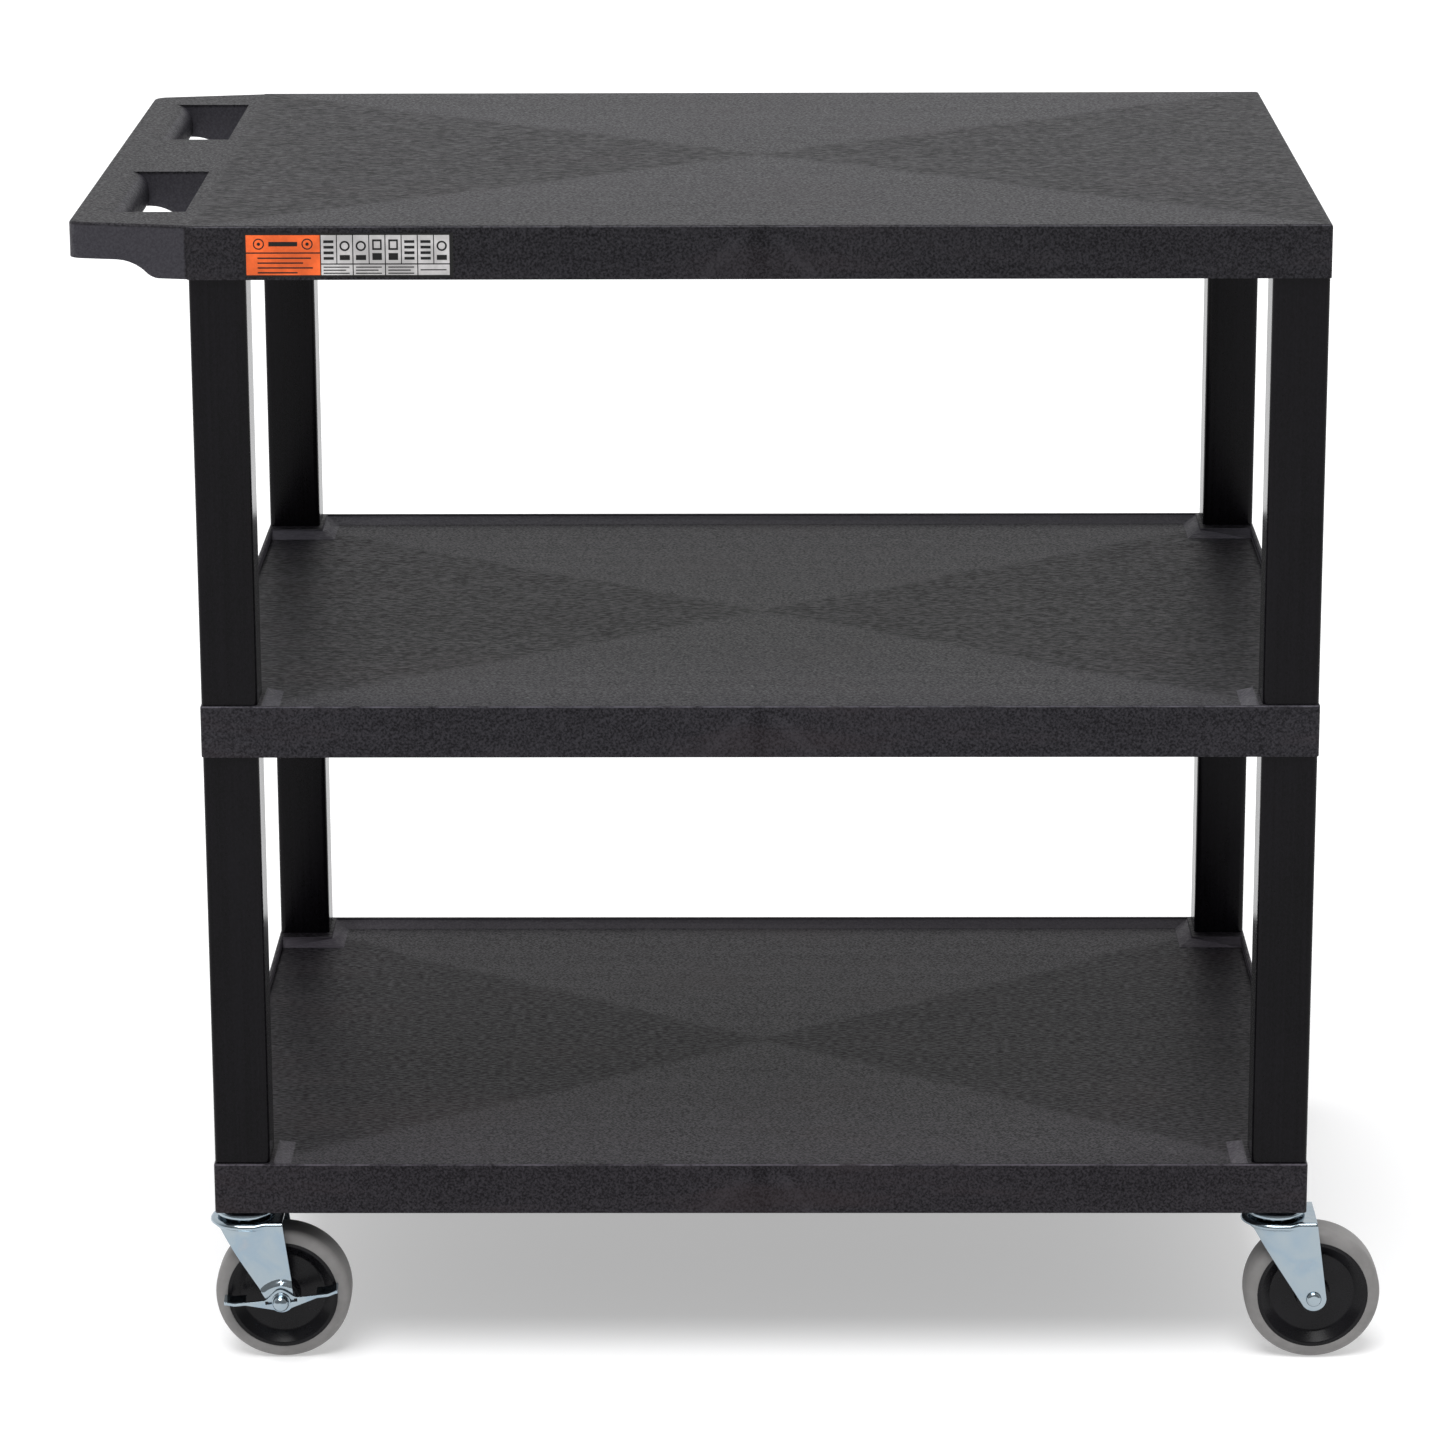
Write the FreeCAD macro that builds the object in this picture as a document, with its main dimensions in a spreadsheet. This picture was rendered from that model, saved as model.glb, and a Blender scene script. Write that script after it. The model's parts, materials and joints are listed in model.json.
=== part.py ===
import FreeCAD, Part
import math
import os
import re

import Sketcher

# Rolling utility cart: three moulded shelves, eight tube legs and four swivel casters.
# Origin on the floor, half way along the whole object and half way across the shelves.
# +X points away from the handle, +Y to the rear long side, +Z up. Millimetres and degrees.

SIZES = [
    # Shelves
    ("shelf_length", 812.8, "shelf, handle side to far side"),
    ("shelf_depth", 609.6, "shelf, front to rear"),
    ("shelf_pitch", 352.8, "rim of one shelf to rim of the next"),
    ("skirt_height", 38.6, "height of a shelf's skirt"),
    ("skirt_wall", 4.5, "wall of the skirt"),
    ("deck_thickness", 5.0, "thickness of the flat deck"),
    ("shelf_corner_radius", 3.0, "upright corner of a shelf"),
    ("top_edge_radius", 2.2, "rounded edge round the top shelf"),
    ("skirt_edge_radius", 0.8, "rounded lower edge of a skirt"),
    ("lip_width", 3.4, "retaining lip of a tray shelf"),
    ("lip_height", 6.5, "lip above the tray's deck"),
    ("lip_edge_radius", 1.1, "rounded edges of the lip"),
    ("corner_pad_x", 45.0, "raised pad and boss under a leg, along X"),
    ("corner_pad_y", 56.0, "raised pad and boss under a leg, along Y"),
    ("rib_thickness", 3.5, "stiffening rib under a deck"),
    ("rib_gap", 8.0, "rib's lower edge above the skirt's lower edge"),
    ("ribs_across", 6, "ribs that run front to rear"),
    ("ribs_along", 4, "ribs that run along the length"),
    # Handle
    ("handle_reach", 86.0, "handle beyond the shelf"),
    ("handle_end_inset", 20.0, "handle's side inside the shelf's side, at its end"),
    ("handle_root_inset", 3.0, "the same, at the shelf"),
    ("handle_corner_radius", 12.0, "upright corner of the handle"),
    ("handle_thickness", 26.0, "depth of the handle's skirt"),
    ("handle_wall", 5.0, "walls under the handle's middle web"),
    ("sweep_upper_radius", 31.0, "upper arc of the swept underside"),
    ("sweep_lower_radius", 14.0, "lower arc of the swept underside"),
    ("sweep_gap", 1.0, "grip's inner face to the start of the sweep"),
    ("hand_hole_gap", 6.0, "hand hole, out from the shelf"),
    ("grip_width", 34.0, "width of the grip bar"),
    ("hand_hole_end", 59.4, "hand hole's outer end from the shelf's side"),
    ("hand_hole_length", 171.8, "hand hole along the grip"),
    ("grip_scoop_radius", 13.0, "soft inner top edge of the grip"),
    ("grip_lower_radius", 4.0, "inner lower edge of the grip"),
    # Legs
    ("leg_width", 41.0, "square leg, outside"),
    ("leg_wall", 2.2, "wall of the leg"),
    ("leg_corner_radius", 4.0, "outer corner of the leg"),
    ("leg_inset_x", 0.6, "leg inside the shelf's end face"),
    ("leg_inset_y", 3.0, "leg inside the shelf's long face"),
    ("peg_clearance", 0.2, "peg inside a leg, each side"),
    ("peg_height", 28.0, "peg that a leg slips over"),
    ("peg_chamfer", 1.4, "lead-in of a peg"),
    # Label on the front skirt of the top shelf
    ("label_offset", 41.2, "label from the shelf's handle side"),
    ("label_drop", 4.8, "label below the top"),
    ("label_length", 148.4, "label along X"),
    ("label_height", 31.7, "label upright"),
    ("label_thickness", 0.3, "label film"),
    # Casters, measured from the swivel axis and the underside of the bottom shelf
    ("caster_height", 119.4, "floor to the bottom shelf's skirt"),
    ("caster_inset_x", 20.5, "swivel axis from the shelf's end face"),
    ("caster_inset_y", 25.3, "swivel axis from the shelf's long face"),
    ("wheel_trail", 27.5, "axle behind the swivel axis"),
    ("stem_radius", 5.55, "push-in stem"),
    ("ring_seat_radius", 4.4, "groove for the grip ring"),
    ("ring_seat_height", 22.0, "grip ring above the underside"),
    ("ring_height", 6.0, "grip ring"),
    ("ring_slit", 2.0, "slit of the grip ring"),
    ("socket_radius", 8.0, "outside of the stem socket"),
    ("socket_length", 34.0, "length of the stem socket"),
    ("socket_clearance", 0.15, "stem in its socket, each side"),
    ("kingpin_radius", 6.0, "kingpin through cap and crown"),
    ("kingpin_head_radius", 10.0, "riveted head under the crown"),
    ("kingpin_head_height", 2.4, "riveted head"),
    ("collar_radius", 8.5, "collar between shelf and cap"),
    ("cap_radius", 21.7, "raceway cap"),
    ("cap_gap", 1.4, "cap's rim above the crown"),
    ("cap_top", 2.6, "cap's crown below the shelf"),
    ("cap_sheet", 1.7, "thickness of the cap"),
    ("crown_top", 8.5, "fork's crown below the shelf"),
    ("fork_sheet", 2.5, "thickness of the fork"),
    ("fork_half_width", 24.5, "outside of the fork from its middle"),
    ("fork_reach", 29.0, "crown beyond the swivel axis"),
    ("fork_flange", 4.5, "short flange round the crown"),
    ("fork_edge_start", 19.0, "slanted edge's start ahead of the axis"),
    ("fork_end_radius", 9.4, "round end of a fork leg"),
    ("fork_bend_radius", 3.0, "bend from crown to leg"),
    ("running_clearance", 0.06, "turning fit, radial"),
    ("side_clearance", 0.4, "turning parts, face to face"),
    ("ball_radius", 1.9, "swivel bearing ball"),
    ("ball_circle_radius", 15.0, "circle of the balls"),
    ("ball_seat", 0.9, "balls' depth in the crown"),
    ("ball_count", 14, "balls in one caster"),
    ("ball_groove_clearance", 0.1, "groove round a ball"),
    # Wheels and axles
    ("wheel_radius", 50.8, "wheel"),
    ("tread_width", 31.8, "tread"),
    ("tread_edge_radius", 6.5, "shoulder of the tread"),
    ("tread_thickness", 9.5, "tread over the core"),
    ("core_half_width", 15.2, "core's rim from its middle"),
    ("rim_ring", 2.7, "flat ring of the rim"),
    ("dish_slope", 7.6, "sloping wall between the ring and the disc"),
    ("dish_half_width", 9.0, "disc from the wheel's middle"),
    ("hub_radius", 13.0, "hub"),
    ("hub_half_length", 19.8, "hub from the wheel's middle"),
    ("bush_radius", 8.0, "bush in the hub"),
    ("bush_flange_radius", 10.0, "flange of the bush"),
    ("bush_length", 12.0, "bush inside the hub"),
    ("sleeve_radius", 6.0, "spacer sleeve"),
    ("axle_radius", 4.0, "axle bolt"),
    ("axle_clearance", 0.05, "axle bolt in sleeve and fork"),
    ("axle_head_radius", 5.8, "domed head"),
    ("axle_head_height", 3.2, "domed head"),
    ("nut_radius", 7.4, "hexagon nut, across corners"),
    ("nut_height", 5.5, "hexagon nut"),
    ("cap_nut_radius", 6.2, "domed cap nut"),
    ("cap_nut_base", 2.0, "collar of the cap nut"),
    # Brake pedal, measured from the axle
    ("brake_tilt", 6.5, "pedal's slope at rest"),
    ("cam_height", 2.6, "pressed cam on the fork leg"),
    ("cam_half_width", 13.5, "cam"),
    ("cam_peak", 13.0, "cam's peak above the axle"),
    ("pedal_sheet", 2.0, "pedal's sheet"),
    ("pedal_half_length", 42.8, "pedal"),
    ("pedal_wing_level", 1.1, "wing above the axle"),
    ("pedal_wing_start", 27.0, "toe wing from the axle"),
    ("pedal_curl", 1.8, "rise of a wing's tip"),
    ("pedal_curl_length", 6.0, "curled stretch of a wing"),
    ("pedal_wing_depth", 12.5, "toe wing, front to rear"),
    ("pedal_hump", 9.4, "hump over the nut"),
    ("pedal_hump_half_width", 11.0, "hump"),
    ("pedal_hump_foot", 3.9, "hump's foot above the axle"),
    ("pedal_point", 7.4, "point below the axle"),
    ("pedal_slot_half_length", 12.5, "cam slot beside the nut"),
    ("pedal_slot_half_height", 1.2, "cam slot"),
]

LAYOUT = [
    ("object_start", "-(handle_reach + shelf_length - caster_inset_x + wheel_trail + wheel_radius) / 2",
     "handle's end in the object's frame"),
    ("shelf_x", "object_start + handle_reach", "shelf's handle side"),
    ("shelf_y", "-shelf_depth / 2", "shelf's front"),
    ("bottom_shelf_z", "caster_height", "underside of the bottom shelf"),
    ("middle_shelf_z", "caster_height + shelf_pitch", "underside of the middle shelf"),
    ("top_shelf_z", "caster_height + 2 * shelf_pitch", "underside of the top shelf"),
    ("leg_length", "shelf_pitch - skirt_height", "pad to underside"),
    ("leg_bore", "leg_width - 2 * leg_wall", "inside of a leg"),
    ("leg_bore_radius", "max(leg_corner_radius - leg_wall; 0.5)", "corner inside a leg, and of its pegs"),
    ("peg_width", "leg_bore - 2 * peg_clearance", "square peg"),
    ("peg_lead_in", "min(peg_chamfer; 0.8 * leg_bore_radius)", "lead-in within the peg's round corner"),
    ("leg_centre_x", "leg_inset_x + leg_width / 2", "leg's axis from the end face"),
    ("leg_centre_y", "leg_inset_y + leg_width / 2", "leg's axis from the long face"),
    ("tray_floor", "skirt_height - lip_height", "deck's top in a tray shelf"),
    ("sweep_radii", "sweep_upper_radius + sweep_lower_radius", "both arcs"),
    ("sweep_angle", "acos(1 - (skirt_height - handle_thickness) / sweep_radii)", "turn of each arc"),
    ("hole_outer", "handle_reach - grip_width", "grip's inner face, out from the shelf"),
    ("sweep_start", "hole_outer - sweep_gap", "start of the sweep, out from the shelf"),
    ("sweep_end", "sweep_start - sweep_radii * sin(sweep_angle)", "end of the sweep"),
    ("sweep_turn_x", "sweep_start - sweep_upper_radius * sin(sweep_angle)", "where the arcs meet"),
    ("sweep_turn_z", "sweep_lower_radius * (1 - cos(sweep_angle))", "where the arcs meet"),
    ("fork_inside", "fork_half_width - fork_sheet", "inner face of a fork leg"),
    ("axle_drop", "caster_height - wheel_radius", "axle below the shelf"),
    ("edge_rise", "axle_drop - crown_top - fork_flange", "slanted edge's start above the axle"),
    ("edge_run", "wheel_trail + fork_edge_start", "slanted edge's start ahead of the axle"),
    ("edge_angle", "180 deg - atan(edge_rise / edge_run)"
     " + acos(fork_end_radius / sqrt(edge_rise ^ 2 + edge_run ^ 2))", "tangent point, slanted edge"),
    ("back_rise", "axle_drop - crown_top", "crown's end above the axle"),
    ("back_run", "fork_reach - wheel_trail", "crown's end behind the axle"),
    ("back_angle", "90 deg - atan(back_run / back_rise)"
     " - acos(fork_end_radius / sqrt(back_rise ^ 2 + back_run ^ 2))", "tangent point, rear edge"),
    ("cap_rise", "crown_top - cap_top - cap_gap", "rise of the domed cap"),
    ("ball_height", "crown_top + ball_seat - ball_radius", "balls' centres below the shelf"),
    ("core_radius", "wheel_radius - tread_thickness", "outside of the core, inside of the tread"),
    ("rim_radius", "core_radius - rim_ring", "edge of the sloping wall"),
    ("dish_radius", "rim_radius - dish_slope", "flat disc inside the dished rim"),
    ("bush_flange", "fork_inside - hub_half_length - side_clearance", "flange fills the side gap"),
    ("head_dome_radius", "(axle_head_radius ^ 2 + axle_head_height ^ 2) / (2 * axle_head_height)",
     "sphere of the axle's head"),
    ("pedal_back", "fork_half_width + cam_height + side_clearance", "pedal's rear face"),
    ("pedal_front", "pedal_back + pedal_sheet", "pedal's front face"),
    ("cap_nut_face", "pedal_front + side_clearance", "cap nut's seat"),
]

SIDES = {"front": 0, "rear": 1}
ENDS = {"left": 0, "right": 1}
BRAKED_ENDS = ("left",)
PARTS_FOLDER = "parts"

doc = FreeCAD.newDocument("UtilityCart")
owner = {}
pieces = []


# ---------------------------------------------------------------- sheets and formulas

def full(formula):
    """Return a formula with each alias led by the name of its sheet."""
    return re.sub(r"[a-z][a-z_]*", lambda word: owner.get(word.group(0), "") + word.group(0), str(formula))


def make_sheet(name, rows, lead):
    """Make a sheet with a note and a named cell on each row."""
    sheet = doc.addObject("Spreadsheet::Sheet", name)
    for number, (alias, content, note) in enumerate(rows, start=1):
        sheet.set(f"A{number}", note)
        sheet.set(f"B{number}", lead + full(content))
        sheet.setAlias(f"B{number}", alias)
        owner[alias] = name + "."
    doc.recompute()
    return sheet


def value(formula):
    """Return the number that a formula gives now."""
    result = sizes_sheet.evalExpression(full(formula))
    return float(getattr(result, "Value", result))


def bind(thing, field, formula):
    """Tie a field of an object to a formula."""
    thing.setExpression(field, full(formula))


sizes_sheet = make_sheet("Sizes", SIZES, "")
layout_sheet = make_sheet("Layout", LAYOUT, "=")


# ---------------------------------------------------------------- modelling helpers

def new_piece(label, x, y, z, turn=0.0):
    """Add an empty body placed in the object's frame, turned about its own Y axis."""
    body = doc.addObject("PartDesign::Body", label)
    body.Label = label
    place = FreeCAD.Vector(value(x), value(y), value(z))
    body.Placement = FreeCAD.Placement(place, FreeCAD.Rotation(FreeCAD.Vector(0, 1, 0), turn))
    bind(body, "Placement.Base.x", x)
    bind(body, "Placement.Base.y", y)
    bind(body, "Placement.Base.z", z)
    pieces.append(body)
    return body


def new_sketch(body, name, role, offset="0"):
    """Add a sketch on one of the body's own planes, moved along the plane's normal."""
    sketch = body.newObject("Sketcher::SketchObject", name)
    plane = next(item for item in body.Origin.OriginFeatures if item.Role == role)
    sketch.AttachmentSupport = [(plane, "")]
    sketch.MapMode = "FlatFace"
    bind(sketch, "AttachmentOffset.Base.z", offset)
    return sketch


def pin_point(sketch, edge, end, point):
    """Hold an edge's end at a point given by two formulas."""
    for kind, formula in zip(("DistanceX", "DistanceY"), point):
        number = sketch.addConstraint(Sketcher.Constraint(kind, -1, 1, edge, end, value(formula)))
        bind(sketch, f"Constraints[{number}]", formula)


def draw_outline(sketch, points, arcs=None):
    """Draw a closed outline through points.

    arcs gives, for the number of a side, its radius and +1 for an anticlockwise bend or -1.
    """
    arcs = arcs or {}
    first = sketch.GeometryCount
    ends = []
    spots = [FreeCAD.Vector(value(x), value(y), 0) for x, y in points]
    for side, start in enumerate(spots):
        stop = spots[(side + 1) % len(spots)]
        if side not in arcs:
            sketch.addGeometry(Part.LineSegment(start, stop), False)
            ends.append((1, 2))
            continue
        radius, bend = arcs[side]
        sketch.addGeometry(arc_between(start, stop, value(radius), bend), False)
        ends.append((1, 2) if bend > 0 else (2, 1))
        number = sketch.addConstraint(Sketcher.Constraint("Radius", first + side, value(radius)))
        bind(sketch, f"Constraints[{number}]", radius)
    for side, point in enumerate(points):
        before = (side - 1) % len(points)
        joint = (first + before, ends[before][1], first + side, ends[side][0])
        sketch.addConstraint(Sketcher.Constraint("Coincident", *joint))
        pin_point(sketch, first + side, ends[side][0], point)


def arc_between(start, stop, radius, bend):
    """Return the arc of less than half a turn from start to stop."""
    chord = stop - start
    across = FreeCAD.Vector(-chord.y, chord.x, 0).normalize()
    rise = math.sqrt(max(radius ** 2 - (chord.Length / 2) ** 2, 0.0))
    centre = (start + stop) / 2 + across * rise * bend
    low, high = (start, stop) if bend > 0 else (stop, start)
    angles = [math.atan2(p.y - centre.y, p.x - centre.x) for p in (low, high)]
    circle = Part.Circle(centre, FreeCAD.Vector(0, 0, 1), radius)
    return Part.ArcOfCircle(circle, angles[0], angles[1])


def draw_box(sketch, x_low, y_low, x_high, y_high):
    """Draw a rectangle between two corners."""
    draw_outline(sketch, [(x_low, y_low), (x_high, y_low), (x_high, y_high), (x_low, y_high)])


def draw_square(sketch, x, y, width):
    """Draw a square about a centre."""
    draw_box(sketch, f"{x} - {width} / 2", f"{y} - {width} / 2", f"{x} + {width} / 2", f"{y} + {width} / 2")


def draw_circle(sketch, x, y, radius):
    """Draw a circle about a centre."""
    circle = Part.Circle(FreeCAD.Vector(value(x), value(y), 0), FreeCAD.Vector(0, 0, 1), value(radius))
    number = sketch.addGeometry(circle, False)
    pin_point(sketch, number, 3, (x, y))
    limit = sketch.addConstraint(Sketcher.Constraint("Radius", number, value(radius)))
    bind(sketch, f"Constraints[{limit}]", radius)


def finish(body, feature):
    """Make a feature the body's tip and work it out."""
    body.Tip = feature
    doc.recompute()
    if feature.Shape.isNull() or not feature.Shape.isValid():
        raise RuntimeError(f"{body.Label}: {feature.Name} has no valid shape")
    return feature


def pad(body, sketch, length, reverse=False, both_ways=False):
    """Extrude a sketch by a formula's length."""
    feature = body.newObject("PartDesign::Pad", sketch.Name + "Pad")
    feature.Profile = sketch
    feature.Reversed = reverse
    feature.Midplane = both_ways
    bind(feature, "Length", length)
    return finish(body, feature)


def pocket(body, sketch, length=None, reverse=False, both_ways=False):
    """Cut a sketch into the body, right through when no length is given."""
    before = body.Shape.Volume
    feature = body.newObject("PartDesign::Pocket", sketch.Name + "Pocket")
    feature.Profile = sketch
    feature.Reversed = reverse
    feature.Midplane = both_ways
    if length is None:
        feature.Type = "ThroughAll"
    else:
        bind(feature, "Length", length)
    finish(body, feature)
    if not body.Shape.Volume < before:
        raise RuntimeError(f"{body.Label}: {feature.Name} cuts nothing")
    return feature


def spin(body, sketch, axis, kind="Revolution"):
    """Turn a sketch a full turn about one of its own axes, adding or cutting."""
    before = body.Shape.Volume if body.Tip else 0.0
    feature = body.newObject("PartDesign::" + kind, sketch.Name + kind)
    feature.Profile = sketch
    feature.ReferenceAxis = (sketch, [axis])
    feature.Angle = 360.0
    finish(body, feature)
    if kind == "Groove" and not body.Shape.Volume < before:
        raise RuntimeError(f"{body.Label}: {feature.Name} cuts nothing")
    return feature


def dress(body, kind, field, size, wanted):
    """Round or chamfer the edges that a test picks out."""
    base = body.Tip
    names = [f"Edge{number}" for number, edge in enumerate(base.Shape.Edges, start=1) if wanted(edge)]
    if not names:
        raise RuntimeError(f"{body.Label}: no edge to dress with {size}")
    feature = body.newObject("PartDesign::" + kind, f"{kind}{len(body.Group)}")
    feature.Base = (base, names)
    bind(feature, field, size)
    return finish(body, feature)


def fillet(body, radius, wanted):
    """Round the edges that a test picks out."""
    return dress(body, "Fillet", "Radius", radius, wanted)


def chamfer(body, size, wanted):
    """Chamfer the edges that a test picks out."""
    return dress(body, "Chamfer", "Size", size, wanted)


def near(first, second):
    """Say whether two lengths agree to a hundredth of a millimetre."""
    return abs(first - second) < 0.01


def flat_at(edge, axis, level):
    """Say whether a whole edge lies at a level along an axis."""
    box = edge.BoundBox
    low, high = getattr(box, axis + "Min"), getattr(box, axis + "Max")
    return near(low, level) and near(high, level)


def upright_at(edge, spots):
    """Say whether an edge stands upright at one of some plan positions."""
    box = edge.BoundBox
    stands = box.ZLength > 1 and box.XLength < 0.01 and box.YLength < 0.01
    return stands and any(near(box.XMin, x) and near(box.YMin, y) for x, y in spots)


# ---------------------------------------------------------------- shelves

def corner_places(inset_x, inset_y):
    """List the four corners' plan formulas, inside a shelf by two insets."""
    xs = (inset_x, f"shelf_length - {inset_x}")
    ys = (inset_y, f"shelf_depth - {inset_y}")
    return [(x, y) for x in xs for y in ys]


def notched_outline(wall, pad_x, pad_y):
    """List the points of a shelf's inside: a rectangle that leaves its four corners out."""
    x = (wall, pad_x, f"shelf_length - {pad_x}", f"shelf_length - {wall}")
    y = (wall, pad_y, f"shelf_depth - {pad_y}", f"shelf_depth - {wall}")
    steps = ((1, 0), (2, 0), (2, 1), (3, 1), (3, 2), (2, 2), (2, 3), (1, 3), (1, 2), (0, 2), (0, 1), (1, 1))
    return [(x[i], y[j]) for i, j in steps]


def hollow_underside(body, deck_top):
    """Hollow a shelf from below, leaving skirt, deck and four leg bosses."""
    sketch = new_sketch(body, "Underside", "XY_Plane")
    draw_outline(sketch, notched_outline("skirt_wall", "corner_pad_x", "corner_pad_y"))
    pocket(body, sketch, f"{deck_top} - deck_thickness", reverse=True)


def add_ribs(body, deck_top):
    """Stiffen the deck with ribs both ways, let into it and into the skirt."""
    depth = f"{deck_top} - deck_thickness / 2 - rib_gap"
    count = int(value("ribs_across"))
    for number in range(1, count + 1):
        middle = f"shelf_length * {number} / ({count} + 1)"
        sketch = new_sketch(body, f"RibAcross{number}", "XY_Plane", "rib_gap")
        draw_box(sketch, f"{middle} - rib_thickness / 2", "skirt_wall / 2",
                 f"{middle} + rib_thickness / 2", "shelf_depth - skirt_wall / 2")
        pad(body, sketch, depth)
    count = int(value("ribs_along"))
    for number in range(1, count + 1):
        middle = f"shelf_depth * {number} / ({count} + 1)"
        sketch = new_sketch(body, f"RibAlong{number}", "XY_Plane", "rib_gap")
        draw_box(sketch, "skirt_wall / 2", f"{middle} - rib_thickness / 2",
                 "shelf_length - skirt_wall / 2", f"{middle} + rib_thickness / 2")
        pad(body, sketch, depth)


def add_pegs(body, level, upwards):
    """Stand a square peg for each leg on the shelf's corners."""
    sketch = new_sketch(body, "PegsUp" if upwards else "PegsDown", "XY_Plane", level)
    for x, y in corner_places("leg_centre_x", "leg_centre_y"):
        draw_square(sketch, x, y, "peg_width")
    pad(body, sketch, "peg_height", reverse=not upwards)
    end = value(level) + value("peg_height") * (1 if upwards else -1)
    reach = value("peg_width / 2")
    places = [(value(x), value(y)) for x, y in corner_places("leg_centre_x", "leg_centre_y")]
    corners = [(x + x_sign * reach, y + y_sign * reach)
               for x, y in places for x_sign in (-1, 1) for y_sign in (-1, 1)]
    fillet(body, "leg_bore_radius", lambda edge: upright_at(edge, corners))
    chamfer(body, "peg_lead_in", lambda edge: flat_at(edge, "Z", end))


def round_skirt(body, spots, top_radius):
    """Round the upright corners, then the upper and lower outside edges."""
    fillet(body, "shelf_corner_radius", lambda edge: upright_at(edge, spots))
    fillet(body, top_radius, lambda edge: flat_at(edge, "Z", value("skirt_height")))
    outer = (value("shelf_length"), value("shelf_depth"))
    fillet(body, "skirt_edge_radius",
           lambda edge: flat_at(edge, "Z", 0.0) and on_long_faces(edge, outer))


def on_long_faces(edge, outer):
    """Say whether an edge lies in the front, rear or far outside face of a shelf."""
    return flat_at(edge, "Y", 0.0) or flat_at(edge, "Y", outer[1]) or flat_at(edge, "X", outer[0])


def tray_shelf(label, level, pegs_below, with_sockets):
    """Make a lipped shelf in one moulding: deck, skirt, ribs, bosses and pegs."""
    body = new_piece(label, "shelf_x", "shelf_y", level)
    block = new_sketch(body, "Block", "XY_Plane")
    draw_box(block, "0", "0", "shelf_length", "shelf_depth")
    pad(body, block, "skirt_height")
    ends = (0.0, value("shelf_length"))
    sides = (0.0, value("shelf_depth"))
    round_skirt(body, [(x, y) for x in ends for y in sides], "lip_edge_radius")
    tray = new_sketch(body, "Tray", "XY_Plane", "skirt_height")
    draw_outline(tray, notched_outline("lip_width", "corner_pad_x", "corner_pad_y"))
    pocket(body, tray, "lip_height")
    fillet(body, "lip_edge_radius", lambda edge: flat_at(edge, "Z", value("skirt_height"))
           and inside_lip(edge))
    hollow_underside(body, "tray_floor")
    add_ribs(body, "tray_floor")
    add_pegs(body, "skirt_height", True)
    if pegs_below:
        add_pegs(body, "0", False)
    if with_sockets:
        bores = new_sketch(body, "SocketBores", "XY_Plane")
        for x, y in corner_places("caster_inset_x", "caster_inset_y"):
            draw_circle(bores, x, y, "socket_radius")
        pocket(body, bores, "socket_length", reverse=True)
    return body


def inside_lip(edge):
    """Say whether an edge is one of the tray's inner rim edges."""
    box = edge.BoundBox
    margin = value("lip_width") - 0.01
    return (box.XMin > margin and box.YMin > margin
            and box.XMax < value("shelf_length") - margin and box.YMax < value("shelf_depth") - margin)


def top_shelf():
    """Make the flat top shelf with its handle and hand holes in one moulding."""
    body = new_piece("top_shelf", "shelf_x", "shelf_y", "top_shelf_z")
    block = new_sketch(body, "Block", "XY_Plane")
    draw_outline(block, [
        ("0", "0"), ("shelf_length", "0"), ("shelf_length", "shelf_depth"), ("0", "shelf_depth"),
        ("0", "shelf_depth - handle_root_inset"), ("-handle_reach", "shelf_depth - handle_end_inset"),
        ("-handle_reach", "handle_end_inset"), ("0", "handle_root_inset")])
    pad(body, block, "skirt_height")
    sweep = new_sketch(body, "Sweep", "XZ_Plane")
    below = "-handle_reach - handle_thickness"
    draw_outline(sweep, [
        (below, "-handle_thickness"), ("-sweep_end", "-handle_thickness"), ("-sweep_end", "0"),
        ("-sweep_turn_x", "sweep_turn_z"), ("-sweep_start", "skirt_height - handle_thickness"),
        (below, "skirt_height - handle_thickness")],
        {2: ("sweep_lower_radius", -1), 3: ("sweep_upper_radius", 1)})
    pocket(body, sweep)
    ends = [(-value("handle_reach"), y) for y in
            (value("handle_end_inset"), value("shelf_depth - handle_end_inset"))]
    fillet(body, "handle_corner_radius", lambda edge: upright_at(edge, ends))
    corners = [(value("shelf_length"), 0.0), (value("shelf_length"), value("shelf_depth")),
               (0.0, 0.0), (0.0, value("shelf_depth"))]
    fillet(body, "min(shelf_corner_radius; handle_root_inset - 0.2)",
           lambda edge: upright_at(edge, corners))
    fillet(body, "top_edge_radius", lambda edge: flat_at(edge, "Z", value("skirt_height")))
    cut_hand_holes(body)
    hollow_underside(body, "skirt_height")
    web = new_sketch(body, "WebUnderside", "XY_Plane")
    draw_box(web, "-handle_reach + handle_wall", "hand_hole_end + hand_hole_length + handle_wall",
             "-handle_wall", "shelf_depth - hand_hole_end - hand_hole_length - handle_wall")
    pocket(body, web, "skirt_height - deck_thickness", reverse=True)
    add_ribs(body, "skirt_height")
    add_pegs(body, "0", False)
    return body


def cut_hand_holes(body):
    """Cut both hand holes and soften the grip bar's inner edges."""
    holes = new_sketch(body, "HandHoles", "XY_Plane")
    for start in ("hand_hole_end", "shelf_depth - hand_hole_end - hand_hole_length"):
        draw_box(holes, "-hole_outer", start, "-hand_hole_gap", f"{start} + hand_hole_length")
    pocket(body, holes, reverse=True)
    grip = -value("hole_outer")
    middle = value("skirt_height - handle_thickness / 2")
    for radius, side in (("grip_scoop_radius", 1), ("grip_lower_radius", -1)):
        fillet(body, radius, lambda edge: flat_at(edge, "X", grip) and edge.BoundBox.ZLength < 0.01
               and side * (edge.BoundBox.ZMin - middle) > 0)


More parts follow.
